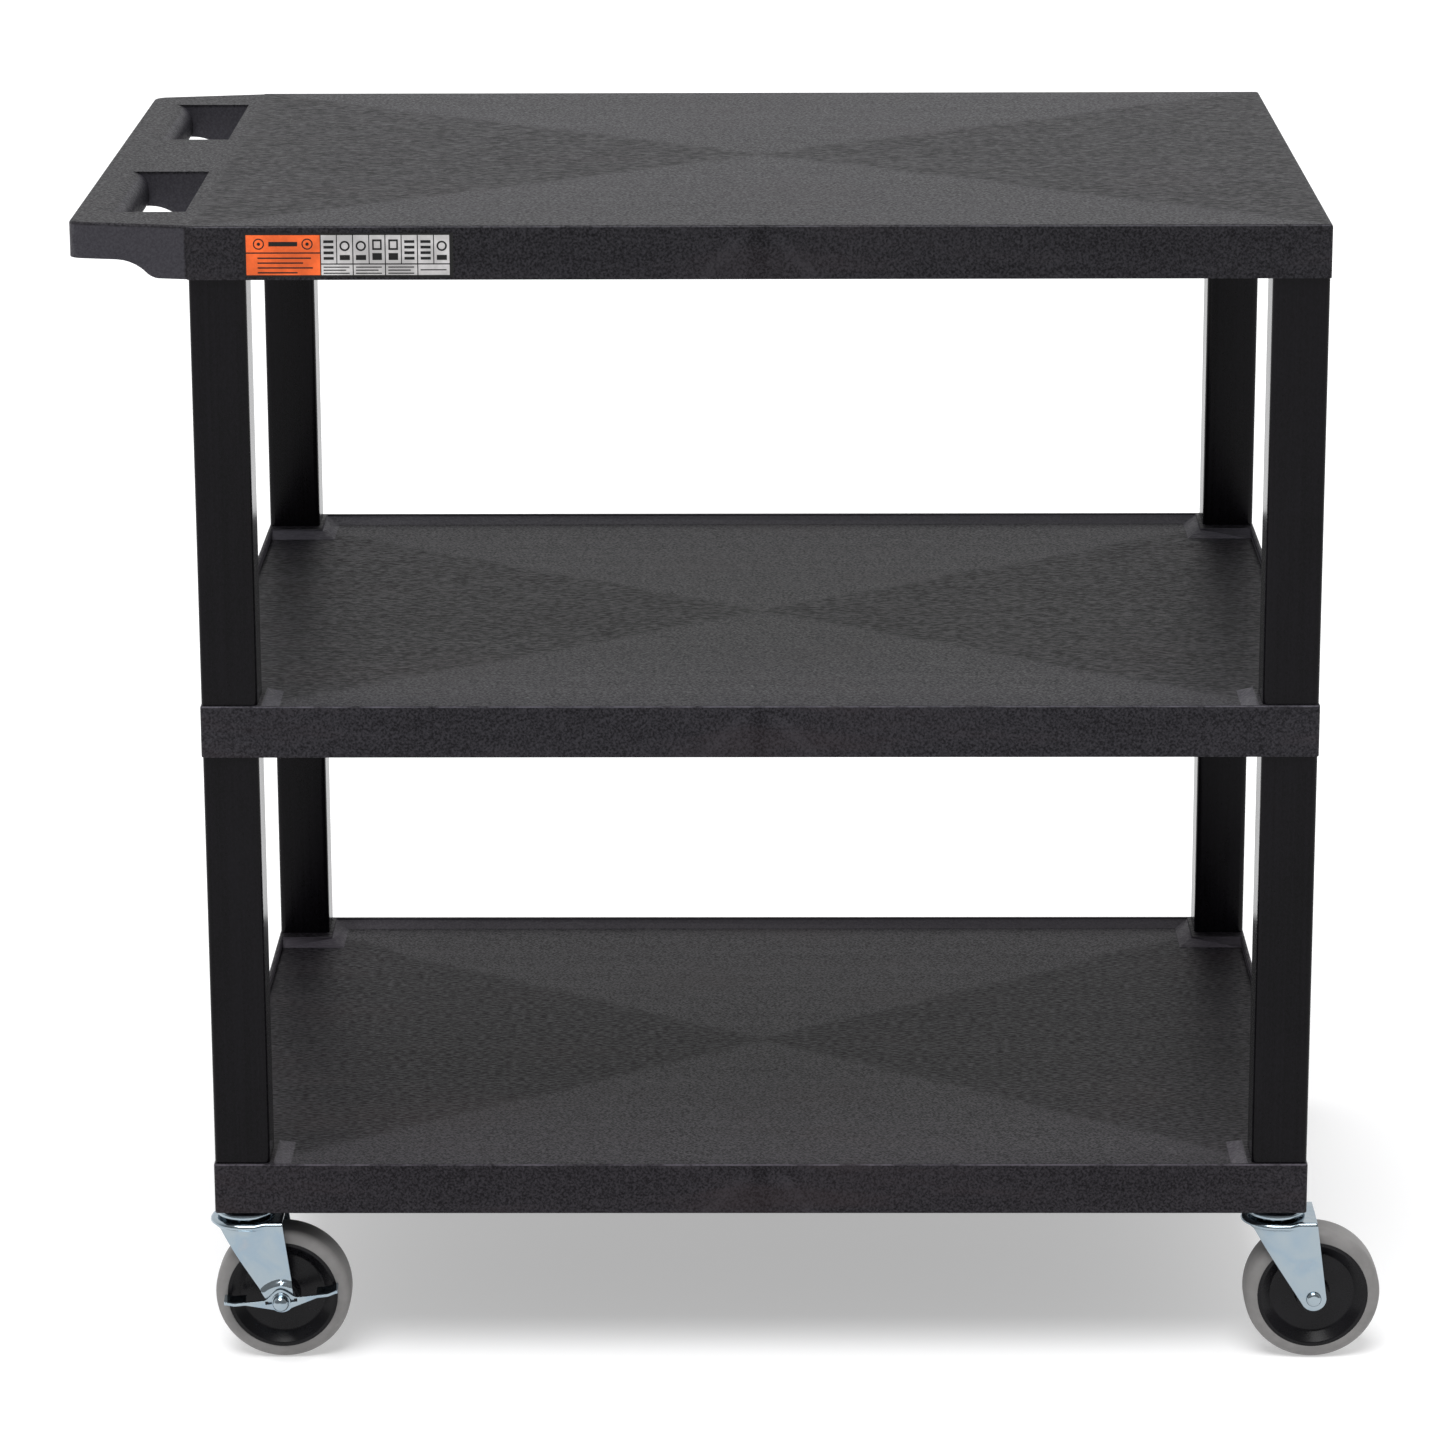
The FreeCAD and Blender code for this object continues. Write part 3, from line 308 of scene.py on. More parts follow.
@dataclass(frozen=True)
class MouldedPlastic(Finish):
    """Moulded black plastic: short flecks of grain, and streaks that flow out from the gate."""

    centre: Point = (0.0, 0.0, 0.0)
    half_length: float = 0.4
    half_depth: float = 0.3
    skirt: float = 0.0386
    edge: float = 0.005
    lip: float = 0.0065
    plain_ends: bool = True
    warmth: float = 0.3
    fleck: Point = (170, 620, 620)
    gloss: tuple[float, float] = (1.17, 1.36)
    tint: Colour = (0.97, 0.94, 1.0)
    warm: Colour = (1.25, 0.85, 0.95)
    # How much lighter the painted light on the walls and the painted highlight on the upper edges make the colour.
    painted_light_gain: float = 4.0
    edge_highlight_gain: float = 6.0
    handle_painted_light: float = 0.62

    def dress(self, shader: Shader) -> None:
        """Grain, flow streaks, sectors, bands, stains and scratches, with painted light on shaded walls and a
        painted highlight on the upper edges.

        Args:
            shader: The tree to fill.
        """
        x, y, z = shader.axes(shader.place(centre=self.centre))
        reach_x, reach_y = x.size() / self.half_length, y.size() / self.half_depth
        wander = shader.noise(shader.place((9, 9, 9), self.centre), 3.0) - 0.5
        fan = (reach_y - reach_x + wander * 0.10).ramp(-0.03, 0.03)
        on_deck = (reach_y.ramp(1.0, 1 - 2 * self.edge / self.half_depth)
                   * reach_x.ramp(1.0, 1 - 2 * self.edge / self.half_length))
        grain = self._grain(shader, fan, on_deck)
        streaks = self._streaks(shader, x, y, z)
        bands = shader.noise(shader.place((0.7, 34, 5), self.centre), 3.0, 0.6)
        stain = shader.noise(shader.place((6, 11, 40), self.centre), 4.0, 0.6)
        scratch = self._scratches(shader)
        flow = self._flow_mark(x, z, on_deck)
        edge_highlight = self._painted_edge_highlight(shader, x, reach_x, reach_y, z)
        tone = (0.62 + (streaks - 0.5) * on_deck * 0.8 + (fan - 0.5) * on_deck * 0.36
                + (bands - 0.5) * on_deck * 0.4 + (stain - 0.5) * 0.6 + (grain - 0.5) * 0.75 + flow)
        level = tone.ramp(0.0, 1.3)
        plain = shader.blend(level, shade(self.colour, 0.35), shade(self.colour, 1.75))
        warm = shader.blend(stain.ramp(0.48, 0.72) * self.warmth, plain, shade(self.warm, self.colour[0]))
        # Painted light: the trays' shaded inner walls and the handle's sides get a lighter colour.
        with_painted_walls = shader.blend(self._painted_light_walls(x, reach_x, reach_y, z), warm,
                              shade(self.colour, self.painted_light_gain))
        # Painted highlight: the upper outer edge gets a much lighter colour.
        colour = shader.blend(edge_highlight, with_painted_walls, shade(self.colour, self.edge_highlight_gain))
        roughness = (self.roughness + (streaks - 0.5) * on_deck * 0.16 + (stain - 0.5) * 0.10
                     - (grain - 0.5) * 0.14 - scratch * 0.08)
        relief = grain * 0.75 + streaks * on_deck * 0.35 - scratch * 0.5
        both = {"Base Color": colour, "Roughness": roughness, "Specular Tint": (*self.tint, 1.0),
                "Normal": shader.bump(relief, self.relief, 0.8)}
        shader.two_surfaces(level, {**both, "IOR": self.gloss[0]}, {**both, "IOR": self.gloss[1]})

    def _painted_light_walls(self, x: Link, reach_x: Link, reach_y: Link, z: Link) -> Link:
        """Return the painted light on walls as a mask: a tray's inner walls, lightened against their shade, or the
        handle's sides.

        Args:
            x: The distance along X from the shelf's centre.
            reach_x: The distance along X as a share of half the length.
            reach_y: The distance along Y as a share of half the depth.
            z: The height above the skirt's foot.

        Returns:
            The mask.
        """
        if not self.plain_ends:
            # Painted light on the handle's sides, below the top edge.
            beyond = (x / -self.half_length).ramp(1.0015, 1.006)
            return beyond * z.ramp(self.skirt - 0.001, self.skirt - 0.003) * self.handle_painted_light
        # Painted light on a tray's inner walls, between the deck and the lip's top.
        inside = reach_x.ramp(0.9985, 0.997) * reach_y.ramp(0.998, 0.996)
        floor = self.skirt - self.lip
        wall = z.ramp(floor + 0.0001, floor + 0.0005) * z.ramp(self.skirt - 0.0001, self.skirt - 0.0004)
        return inside * wall

    def _grain(self, shader: Shader, fan: Link, on_deck: Link) -> Link:
        """Return short flecks that lie along the flow.

        Args:
            shader: The tree.
            fan: 1 in the front and back sectors.
            on_deck: 1 on the deck.

        Returns:
            The grain from 0 to 1.
        """
        along = shader.noise(shader.place(self.fleck), 2.0, 0.65)
        slant = shader.noise(shader.place(self.fleck, turn=(0, 0.75, 0.9)), 2.0, 0.65)
        counter = shader.noise(shader.place(self.fleck, turn=(0, -0.75, -0.9)), 2.0, 0.65)
        crossed = slant * 0.5 + counter * 0.5
        straight = (1 - fan) * on_deck
        return (along * straight + crossed * (1 - straight)).ramp(0.34, 0.66)

    def _streaks(self, shader: Shader, x: Link, y: Link, z: Link) -> Link:
        """Return streaks that run out from the centre.

        Args:
            shader: The tree.
            x: The distance along X from the shelf's centre.
            y: The distance along Y from the shelf's centre.
            z: The height above the skirt's foot.

        Returns:
            The streaks from 0 to 1.
        """
        around = shader.node("ShaderNodeVectorMath", {"operation": "NORMALIZE"},
                             {0: shader.join(x, y * 1.2, 0.0)})
        ax, ay, _ = shader.axes(around)
        reach = shader.maths("SQRT", x * x + y * y)
        coarse = shader.noise(shader.join(ax * 7, ay * 7, reach * 3 + z * 9), 3.0, 0.6)
        fine = shader.noise(shader.join(ax * 46, ay * 46, reach * 14 + z * 9), 2.0, 0.6)
        return coarse * 0.6 + fine * 0.4

    def _scratches(self, shader: Shader) -> Link:
        """Return a few hairline scratches as a mask.

        Args:
            shader: The tree.

        Returns:
            The mask.
        """
        warped = shader.noise(shader.place((2.2, 3.1, 30), centre=(0.31, 0.17, 0)), 1.0)
        line = ((warped - 0.5).size()).ramp(0.0012, 0.0)
        broken = shader.noise(shader.place((14, 14, 60)), 1.0).ramp(0.52, 0.6)
        return line * broken

    def _flow_mark(self, x: Link, z: Link, on_deck: Link) -> Link:
        """Return the spread mark at the middle of a skirt: a dark stem between two pale wings.

        Args:
            x: The distance along X from the shelf's centre.
            z: The height above the skirt's foot.
            on_deck: 1 on the deck.

        Returns:
            What the mark adds to the tone.
        """
        beside = x.size()
        below = 1 - z / self.skirt
        wing = (beside - below * 0.034 - 0.006).size().ramp(0.009, 0.001) * below.ramp(0.0, 0.35)
        stem = beside.ramp(0.010, 0.003)
        return (wing * 0.20 - stem * 0.16) * (1 - on_deck)

    def _painted_edge_highlight(self, shader: Shader, x: Link, reach_x: Link, reach_y: Link, z: Link) -> Link:
        """Return the painted highlight along the upper outer edge as a mask, broken up by noise.

        Args:
            shader: The tree.
            x: The distance along X from the shelf's centre.
            reach_x: The distance along X as a share of half the length.
            reach_y: The distance along Y as a share of half the depth.
            z: The height above the skirt's foot.

        Returns:
            The mask.
        """
        at_top = z.ramp(self.skirt - 0.0014, self.skirt - 0.0004)
        ends = reach_x if self.plain_ends else x / self.half_length
        outside = (reach_y - 1).ramp(-0.0045, -0.0015).larger((ends - 1).ramp(-0.0035, -0.0012))
        broken = shader.noise(shader.place((60, 60, 60)), 4.0, 0.7).ramp(0.30, 0.62)
        return at_top * outside * broken * 0.9


@dataclass(frozen=True)
class GlossTube(Finish):
    """Smooth extruded black plastic with faint draw lines along its length."""

    def dress(self, shader: Shader) -> None:
        """Draw lines, soft smudges and a slow waviness.

        Args:
            shader: The tree to fill.
        """
        lines = shader.noise(shader.place((420, 420, 2.5)), 2.0, 0.6)
        smudge = shader.noise(shader.place((16, 16, 7)), 4.0, 0.6)
        specks = shader.noise(shader.place((700, 700, 420)), 1.0, 0.6)
        tone = (lines - 0.5) * 0.7 + (smudge - 0.5) * 0.9 + (specks - 0.5) * 0.8 + 0.5
        colour = shader.blend(tone.ramp(0.0, 1.0), shade(self.colour, 0.4), shade(self.colour, 1.9))
        roughness = self.roughness + (smudge - 0.5) * 0.14 + (lines - 0.5) * 0.05
        wave = shader.noise(shader.place((5, 5, 3)), 1.0)
        shader.surface({"Base Color": colour, "Roughness": roughness, "IOR": 1.195,
                        "Normal": shader.bump(wave * 0.8 + lines * 0.06, self.relief, 0.5)})


@dataclass(frozen=True)
class ZincPlate(Finish):
    """Bright zinc plate with a faint colour play and a pressed sheet's waviness."""

    tint: Colour = (0.285, 0.365, 0.435)

    def dress(self, shader: Shader) -> None:
        """Clouds of tint, fine brushing and a slow wave.

        Args:
            shader: The tree to fill.
        """
        cloud = shader.noise(shader.place((38, 38, 38)), 3.0, 0.55, bend=0.6)
        fleck = shader.noise(shader.place((900, 900, 260)), 2.0, 0.7)
        warm = shader.blend(cloud.ramp(0.42, 0.68), self.colour, self.tint)
        colour = shader.blend(cloud.ramp(0.60, 0.72) * 0.35, warm, (0.43, 0.40, 0.385))
        roughness = self.roughness + (cloud - 0.5) * 0.16 + (fleck - 0.5) * 0.10
        wave = shader.noise(shader.place((55, 55, 45)), 2.0)
        shader.surface({"Base Color": colour, "Metallic": 1.0, "Roughness": roughness,
                        "Normal": shader.bump(wave + fleck * 0.05, self.relief, 0.6)})


@dataclass(frozen=True)
class SatinPlastic(Finish):
    """Plain moulded plastic with a fine spark-eroded texture."""

    grit: float = 900.0
    bending: float = 1.27

    def dress(self, shader: Shader) -> None:
        """Fine grit, and dust that gathers in clouds.

        Args:
            shader: The tree to fill.
        """
        grit = shader.noise(shader.place((self.grit,) * 3), 2.0, 0.6)
        dust = shader.noise(shader.place((45, 45, 45)), 4.0, 0.6)
        colour = shader.blend(dust.ramp(0.35, 0.8), self.colour, shade(self.colour, 1.7))
        roughness = self.roughness + (dust - 0.5) * 0.18 + (grit - 0.5) * 0.08
        shader.surface({"Base Color": colour, "Roughness": roughness, "IOR": self.bending,
                        "Normal": shader.bump(grit, self.relief, 0.5)})


@dataclass(frozen=True)
class TreadRubber(Finish):
    """Soft grey rubber with a matt skin and a slightly scuffed tread."""

    def dress(self, shader: Shader) -> None:
        """Fine pores, scuffs and faint mottling.

        Args:
            shader: The tree to fill.
        """
        pores = shader.noise(shader.place((1300, 1300, 1300)), 2.0, 0.6)
        mottle = shader.noise(shader.place((60, 60, 60)), 4.0, 0.6)
        colour = shader.blend(mottle.ramp(0.3, 0.75), shade(self.colour, 0.90), shade(self.colour, 1.10))
        roughness = self.roughness + (mottle - 0.5) * 0.16 + (pores - 0.5) * 0.1
        shader.surface({"Base Color": colour, "Roughness": roughness, "IOR": 1.42,
                        "Normal": shader.bump(pores * 0.5 + mottle * 0.5, self.relief, 0.5)})


DECK_LOW, DECK_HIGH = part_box("middle_shelf")
UPPER_LEG, LOWER_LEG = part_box("upper_leg_front_left"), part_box("lower_leg_front_left")
RIMS = {"top_shelf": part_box("top_shelf")[1].z, "middle_shelf": UPPER_LEG[0].z,
        "bottom_shelf": LOWER_LEG[0].z}
SKIRT = RIMS["top_shelf"] - UPPER_LEG[1].z


def moulding(node: str, colour: Colour, warmth: float) -> MouldedPlastic:
    """Return the finish of one shelf's moulding, with its pattern centred on that shelf.

    Args:
        node: The shelf.
        colour: Its colour, set per shelf as painted light: lighter on the shelves that lie in shade.
        warmth: How strongly its stains are warmed.

    Returns:
        The finish.
    """
    middle, half = (DECK_LOW + DECK_HIGH) / 2, (DECK_HIGH - DECK_LOW) / 2
    return MouldedPlastic(f"grained_black_{node}", colour, 0.52, 0.00018,
                          centre=(middle.x, middle.y, RIMS[node] - SKIRT), half_length=half.x,
                          half_depth=half.y, skirt=SKIRT, warmth=warmth,
                          plain_ends=node != "top_shelf")


# The shelves are one plastic. As painted light, the middle and bottom shelves get lighter colours against the
# shade of the shelves above, and the top shelf a darker one against its brighter light.
SHELVES: dict[str, Finish] = {
    "top_shelf": moulding("top_shelf", (0.0124, 0.0120, 0.0144), 0.25),
    "middle_shelf": moulding("middle_shelf", (0.0156, 0.0149, 0.0180), 0.40),
    "bottom_shelf": moulding("bottom_shelf", (0.0144, 0.0130, 0.0158), 0.60),
}
TUBE = GlossTube("gloss_black", (0.0030, 0.0026, 0.0036), 0.20, 0.0004)
ZINC = ZincPlate("zinc_plate", (0.335, 0.395, 0.435), 0.17, 0.0008)
POLISHED = ZincPlate("polished_steel", (0.72, 0.73, 0.75), 0.12, 0.0001)
CORE = SatinPlastic("satin_black", (0.0042, 0.0040, 0.0050), 0.27, 0.00003, bending=1.27)
INNER = SatinPlastic("inner_grey", (0.05, 0.05, 0.055), 0.45, 0.00003)
RUBBER = TreadRubber("soft_grey_rubber", (0.205, 0.199, 0.196), 0.60, 0.00005)
FILM = SatinPlastic("black_film", (0.008, 0.008, 0.008), 0.32, 0.00001)
ORANGE_INK = SatinPlastic("orange_ink", (0.62, 0.10, 0.022), 0.38, 0.00001)
SILVER_INK = SatinPlastic("silver_ink", (0.40, 0.39, 0.39), 0.36, 0.00001)

SLOT_FINISHES: dict[str, Finish] = {
    "leg_plastic": TUBE, "socket_plastic": INNER, "zinc_steel": ZINC,
    "ball_steel": POLISHED, "core_plastic": CORE, "tread_rubber": RUBBER, "bush_plastic": INNER,
    "label_film": FILM,
}


def dress_nodes() -> None:
    """Give each CAD node its own finish, or the finish of its slot in the record."""
    for subpart in frame["record"]["subparts"]:
        node = frame["nodes"][subpart["node"]]
        finish = SHELVES.get(subpart["node"]) or SLOT_FINISHES[subpart["material_slot"]]
        node.data.materials.clear()
        node.data.materials.append(finish.make())


# ---------------------------------------------------------------- mesh work

ROUND_STEPS = 5


def ease(value: float, low: float, high: float) -> float:
    """Return a smooth step from 0 at low to 1 at high, where high may be the smaller one.

    Args:
        value: The value.
        low: Where the step starts.
        high: Where the step ends.

    Returns:
        The step from 0 to 1.
    """
    share = min(max((value - low) / (high - low), 0.0), 1.0)
    return share * share * (3 - 2 * share)


class Workpiece:
    """A mesh in the making, in millimetres from an anchor point."""

    def __init__(self, name: str, anchor: Vector) -> None:
        """Start an empty mesh."""
        self.name = name
        self.anchor = anchor
        self.mesh = bmesh.new()

    def line(self, points: list[Point], rounds: dict[int, float] | None = None,
             closed: bool = False) -> list[bmesh.types.BMEdge]:
        """Draw straight runs with rounded corners.

        Args:
            points: The corners, in order.
            rounds: A radius for each corner that is rounded, by its number.
            closed: Whether the last corner joins the first.

        Returns:
            The edges of the line.
        """
        before = set(self.mesh.edges)
        spots = [self.mesh.verts.new(point) for point in points]
        following = spots[1:] + spots[:1] if closed else spots[1:]
        for start, stop in zip(spots, following):
            self.mesh.edges.new((start, stop))
        for number, radius in (rounds or {}).items():
            bmesh.ops.bevel(self.mesh, geom=[spots[number]], offset=radius, offset_type="OFFSET",
                            segments=ROUND_STEPS, profile=0.5, affect="VERTICES", material=-1)
        return [edge for edge in self.mesh.edges if edge not in before]

    def divide(self, edges: Iterable[bmesh.types.BMEdge], longest: float) -> None:
        """Divide each edge into pieces no longer than a length.

        Args:
            edges: The edges.
            longest: The greatest length of a piece.
        """
        for edge in list(edges):
            cuts = math.ceil(edge.calc_length() / longest) - 1
            if cuts > 0:
                bmesh.ops.subdivide_edges(self.mesh, edges=[edge], cuts=cuts)

    def spin(self, edges: list[bmesh.types.BMEdge], axis: Point, steps: int,
             angle: float = math.tau) -> list[bmesh.types.BMEdge]:
        """Turn a line about an axis through the anchor.

        Args:
            edges: The line.
            axis: The direction of the axis.
            steps: The steps of the turn.
            angle: The turn, a full one unless it is given.

        Returns:
            The edges at the end of the turn.
        """
        spots = {spot for edge in edges for spot in edge.verts}
        made = bmesh.ops.spin(self.mesh, geom=[*edges, *spots], cent=(0, 0, 0), axis=axis,
                              dvec=(0, 0, 0), angle=angle, steps=steps, use_merge=angle == math.tau,
                              use_duplicate=False)
        return [item for item in made["geom_last"] if isinstance(item, bmesh.types.BMEdge)]

    def draw_out(self, edges: list[bmesh.types.BMEdge], step: Point, times: int = 1
                 ) -> list[bmesh.types.BMEdge]:
        """Draw edges out into faces by a step, several times, and return the last edges.

        Args:
            edges: The edges.
            step: The step.
            times: How often it is taken.

        Returns:
            The last edges.
        """
        for _ in range(times):
            made = bmesh.ops.extrude_edge_only(self.mesh, edges=edges)["geom"]
            edges = [item for item in made if isinstance(item, bmesh.types.BMEdge)
                     and len(item.link_faces) == 1]
            spots = [item for item in made if isinstance(item, bmesh.types.BMVert)]
            bmesh.ops.translate(self.mesh, vec=step, verts=spots)
            edges = [edge for edge in edges if all(spot in spots for spot in edge.verts)]
        return edges

    def cut(self, centre: Point, direction: Point,
            wanted: Callable[[bmesh.types.BMFace], bool] = lambda face: True,
            clear: bool = True) -> None:
        """Cut the wanted faces with a plane, and clear what lies beyond it.

        Args:
            centre: A point on the plane.
            direction: The plane's outward direction.
            wanted: Says which faces are cut.
            clear: Whether what lies beyond is removed.
        """
        faces = [face for face in self.mesh.faces if wanted(face)]
        around = {item for face in faces for item in (*face.verts, *face.edges)}
        bmesh.ops.bisect_plane(self.mesh, geom=[*faces, *around], dist=1e-5, plane_co=centre,
                               plane_no=direction, clear_outer=clear)

    def drop(self, wanted: Callable[[bmesh.types.BMFace], bool]) -> None:
        """Delete the wanted faces and what only they used."""
        faces = [face for face in self.mesh.faces if wanted(face)]
        bmesh.ops.delete(self.mesh, geom=faces, context="FACES")

    def slab(self, low: Point, high: Point, finish: int = 0) -> None:
        """Add a thin block between two corners, with one of the piece's finishes.

        Args:
            low: The lowest corner.
            high: The highest corner.
            finish: The finish's number.
        """
        size = Vector(high) - Vector(low)
        middle = (Vector(high) + Vector(low)) / 2
        place = Matrix.Translation(middle) @ Matrix.Diagonal((*size, 1.0))
        made = bmesh.ops.create_cube(self.mesh, size=1.0, matrix=place)
        for face in {face for spot in made["verts"] for face in spot.link_faces}:
            face.material_index = finish

    def join_up(self) -> None:
        """Merge doubled points and turn the faces outwards."""
        bmesh.ops.remove_doubles(self.mesh, verts=self.mesh.verts, dist=0.002)
        bmesh.ops.recalc_face_normals(self.mesh, faces=self.mesh.faces)

    def thicken(self, sheet: float) -> None:
        """Give a surface the thickness of its sheet, inwards."""
        bmesh.ops.solidify(self.mesh, geom=self.mesh.faces[:], thickness=sheet)
        bmesh.ops.recalc_face_normals(self.mesh, faces=self.mesh.faces)

    def soften(self, width: float, angle: float = 40.0, steps: int = 2) -> None:
        """Round every edge that is sharper than an angle in degrees.

        Args:
            width: The width of the rounding.
            angle: The least angle that counts as sharp.
            steps: The faces across the rounding.
        """
        sharp = [edge for edge in self.mesh.edges
                 if len(edge.link_faces) == 2 and edge.calc_face_angle() > math.radians(angle)]
        bmesh.ops.bevel(self.mesh, geom=sharp, offset=width, offset_type="OFFSET", segments=steps,
                        profile=0.5, affect="EDGES", material=-1, clamp_overlap=True)

    def turn(self, degrees: float, axis: str = "Y") -> None:
        """Turn the whole mesh about an axis through the anchor."""
        bmesh.ops.rotate(self.mesh, cent=(0, 0, 0), verts=self.mesh.verts,
                         matrix=Matrix.Rotation(math.radians(degrees), 3, axis))

    def finish(self, body: str, node: str, slot: str, finishes: list[Finish],
               crease: float = 32.0) -> bpy.types.Object:
        """Turn the mesh into a piece that stands for a node.

        Args:
            body: The body that the piece rides on.
            node: The node that it replaces.
            slot: The record's material slot, which is not used.
            finishes: The finishes, in the order of the faces' numbers.
            crease: The angle in degrees past which an edge is shaded sharp.

        Returns:
            The piece.
        """
        bmesh.ops.scale(self.mesh, vec=(MM, MM, MM), verts=self.mesh.verts)
        bmesh.ops.translate(self.mesh, vec=self.anchor, verts=self.mesh.verts)
        data = bpy.data.meshes.new(self.name)
        self.mesh.to_mesh(data)
        self.mesh.free()
        for finish in finishes:
            data.materials.append(finish.make())
        data.shade_smooth()
        data.set_sharp_from_angle(angle=math.radians(crease))
        piece = bpy.data.objects.new(self.name, data)
        bpy.context.scene.collection.objects.link(piece)
        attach(piece, body)
        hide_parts(node)
        LOG.info("%s: %d faces, rides on %s", self.name, len(data.polygons), body)
        return piece


# ---------------------------------------------------------------- tray shelves

@dataclass
class Tray:
    """A tray shelf whose front and back lips and corner pads rise from the deck in a slope."""

    node: str
    lip_height: float = 6.5
    lip_width: float = 3.4
    slope: float = 11.0
    crease: float = 18.0
    merge: float = 0.002
    level_play: float = 0.05

    def build(self) -> None:
        """Copy the shelf's mesh and draw the feet of its inner walls in over the deck."""
        low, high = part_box(self.node)
        middle = Vector(((low.x + high.x) / 2, (low.y + high.y) / 2, RIMS[self.node]))
        part = Workpiece(f"{self.node}.fine", middle)
        part.mesh.from_mesh(frame["nodes"][self.node].data)
        bmesh.ops.translate(part.mesh, vec=-middle, verts=part.mesh.verts)
        bmesh.ops.scale(part.mesh, vec=(1 / MM,) * 3, verts=part.mesh.verts)
        bmesh.ops.remove_doubles(part.mesh, verts=part.mesh.verts, dist=self.merge)
        side_lip = (high.x - low.x) / 2 / MM - self.lip_width
        for spot in part.mesh.verts:
            if abs(spot.co.z + self.lip_height) < self.level_play:
                spot.co.y -= math.copysign(self.slope, spot.co.y)
                if abs(spot.co.x) < side_lip - 1.0:
                    spot.co.x -= math.copysign(self.slope, spot.co.x)
        part.finish("cart", self.node, "shelf_plastic", [SHELVES[self.node]], self.crease)


# ---------------------------------------------------------------- casters

class Brake(Enum):
    """Whether a caster has a foot brake."""

    NONE = "free"
    ROCKER = "rocker"


@dataclass
class Caster:
    """One caster's fine pieces: cap, fork, wheel, axle and, where it has one, its brake pedal."""

    corner: str
    brake: Brake
    swivel: Vector
    axle: Vector
    cap_radius: float = 21.7
    cap_top: float = -2.6
    cap_sheet: float = 1.7
    sheet: float = 2.5
    half_width: float = 24.5
    reach: float = 29.0
    flange: float = 4.5
    bend: float = 3.0
    nose_start: float = 19.0
    end_radius: float = 9.4
    ring_swell: float = 1.9
    ring_dip: float = 1.0
    cam_height: float = 2.6
    cap_shoulder: float = 3.4
    bore: float = 6.0
    wheel_radius: float = 50.8
    tread_half: float = 15.9
    core_radius: float = 41.3
    rim_half: float = 15.2
    disc_radius: float = 31.0
    disc_half: float = 9.0
    hub_half: float = 19.8
    pedal_half: float = 42.8
    pedal_sheet: float = 1.9
    pedal_tilt: float = 6.5

    def __post_init__(self) -> None:
        """Take the levels of crown and cap, and the axle's place, from the frame."""
        self.crown_level = (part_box(f"fork_{self.corner}")[1].z - self.swivel.z) / MM
        self.cap_rim = (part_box(f"raceway_cap_{self.corner}")[0].z - self.swivel.z) / MM
        self.from_swivel = (self.axle - self.swivel) / MM

    def build(self) -> None:
        """Make every fine piece of the caster."""
        self.cap()
        self.fork()
        self.core()
        self.tread()
        self.bolt()
        self.nut()
        if self.brake is Brake.ROCKER:
            self.pedal()

    def start(self, piece: str, anchor: Vector) -> Workpiece:
        """Start one of the caster's pieces."""
        return Workpiece(f"{piece}_{self.corner}.fine", anchor)

    def cap(self) -> None:
        """Spin the pressed cap: a flat crown, a round shoulder and a short upright rim."""
        part = self.start("raceway_cap", self.swivel)
        radius, rim, inner = self.cap_radius, self.cap_rim, self.cap_radius - self.cap_sheet
        top, under = self.cap_top, self.cap_top - self.cap_sheet
        section = part.line(
            [(self.bore, 0, top), (radius, 0, top), (radius, 0, rim), (inner, 0, rim),
             (inner, 0, under), (self.bore, 0, under)],
            {1: self.cap_shoulder, 2: 0.4, 4: self.cap_shoulder - self.cap_sheet}, closed=True)
        part.spin(section, (0, 0, 1), 72)
        part.join_up()
        part.finish("cart", f"raceway_cap_{self.corner}", "zinc_steel", [ZINC])

    def fork(self) -> None:
        """Fold the fork from sheet: round nose, crown with a raceway ring, and two tapered legs."""
        part = self.start("fork", self.swivel)
        axle = self.from_swivel
        top, side, low = self.crown_level, self.half_width, axle.z - self.end_radius - 2
        rim, crease = top - self.flange, top - 8.5
        section = part.line([(0, 0, top), (0, -self.bore, top), (0, -side, top), (0, -side, rim),
                             (0, -side, crease), (0, -side, low)], {2: self.bend})
        part.divide((edge for edge in section if max(v.co.z for v in edge.verts) > crease + 0.1), 0.9)
        part.divide(section, 1.6 if self.brake is Brake.ROCKER else 6.0)
        section = part.mesh.edges[:]
        last = part.spin(section, (0, 0, 1), 32, -math.pi)
        length = axle.x + self.end_radius + 1
        for edges in (section, last):
            part.draw_out(edges, (length / 22, 0, 0), 22)
        part.join_up()
        part.drop(lambda face: face.calc_center_median().xy.length < self.bore
                  and face.calc_center_median().z > rim)
        self._trim_fork(part, axle, rim)
        self._press_ring(part, top)
        if self.brake is Brake.ROCKER:
            self._press_cam(part, axle)
        bmesh.ops.recalc_face_normals(part.mesh, faces=part.mesh.faces)
        part.thicken(self.sheet)
        part.soften(0.35, 60.0)
        part.finish(f"swivel_{self.corner}", f"fork_{self.corner}", "zinc_steel", [ZINC])

    def _trim_fork(self, part: Workpiece, axle: Vector, rim: float) -> None:
        """Cut the legs along their slanted edges and round their ends about the axle.

        Args:
            part: The fork.
            axle: The axle, from the swivel.
            rim: The level of the flange's lower edge.
        """
        start = self._tangent(axle, (-self.nose_start, rim), 1)
        stop = self._tangent(axle, (self.reach, self.crown_level), -1) + math.tau
        steps = 14
        for number in range(steps + 1):
            angle = start + (stop - start) * number / steps
            outward = (math.cos(angle), 0, math.sin(angle))
            spot = (axle.x + self.end_radius * outward[0], 0, axle.z + self.end_radius * outward[2])
            rear = number == steps
            part.cut(spot, outward, lambda face: rear or all(v.co.z < rim + 0.01 for v in face.verts))

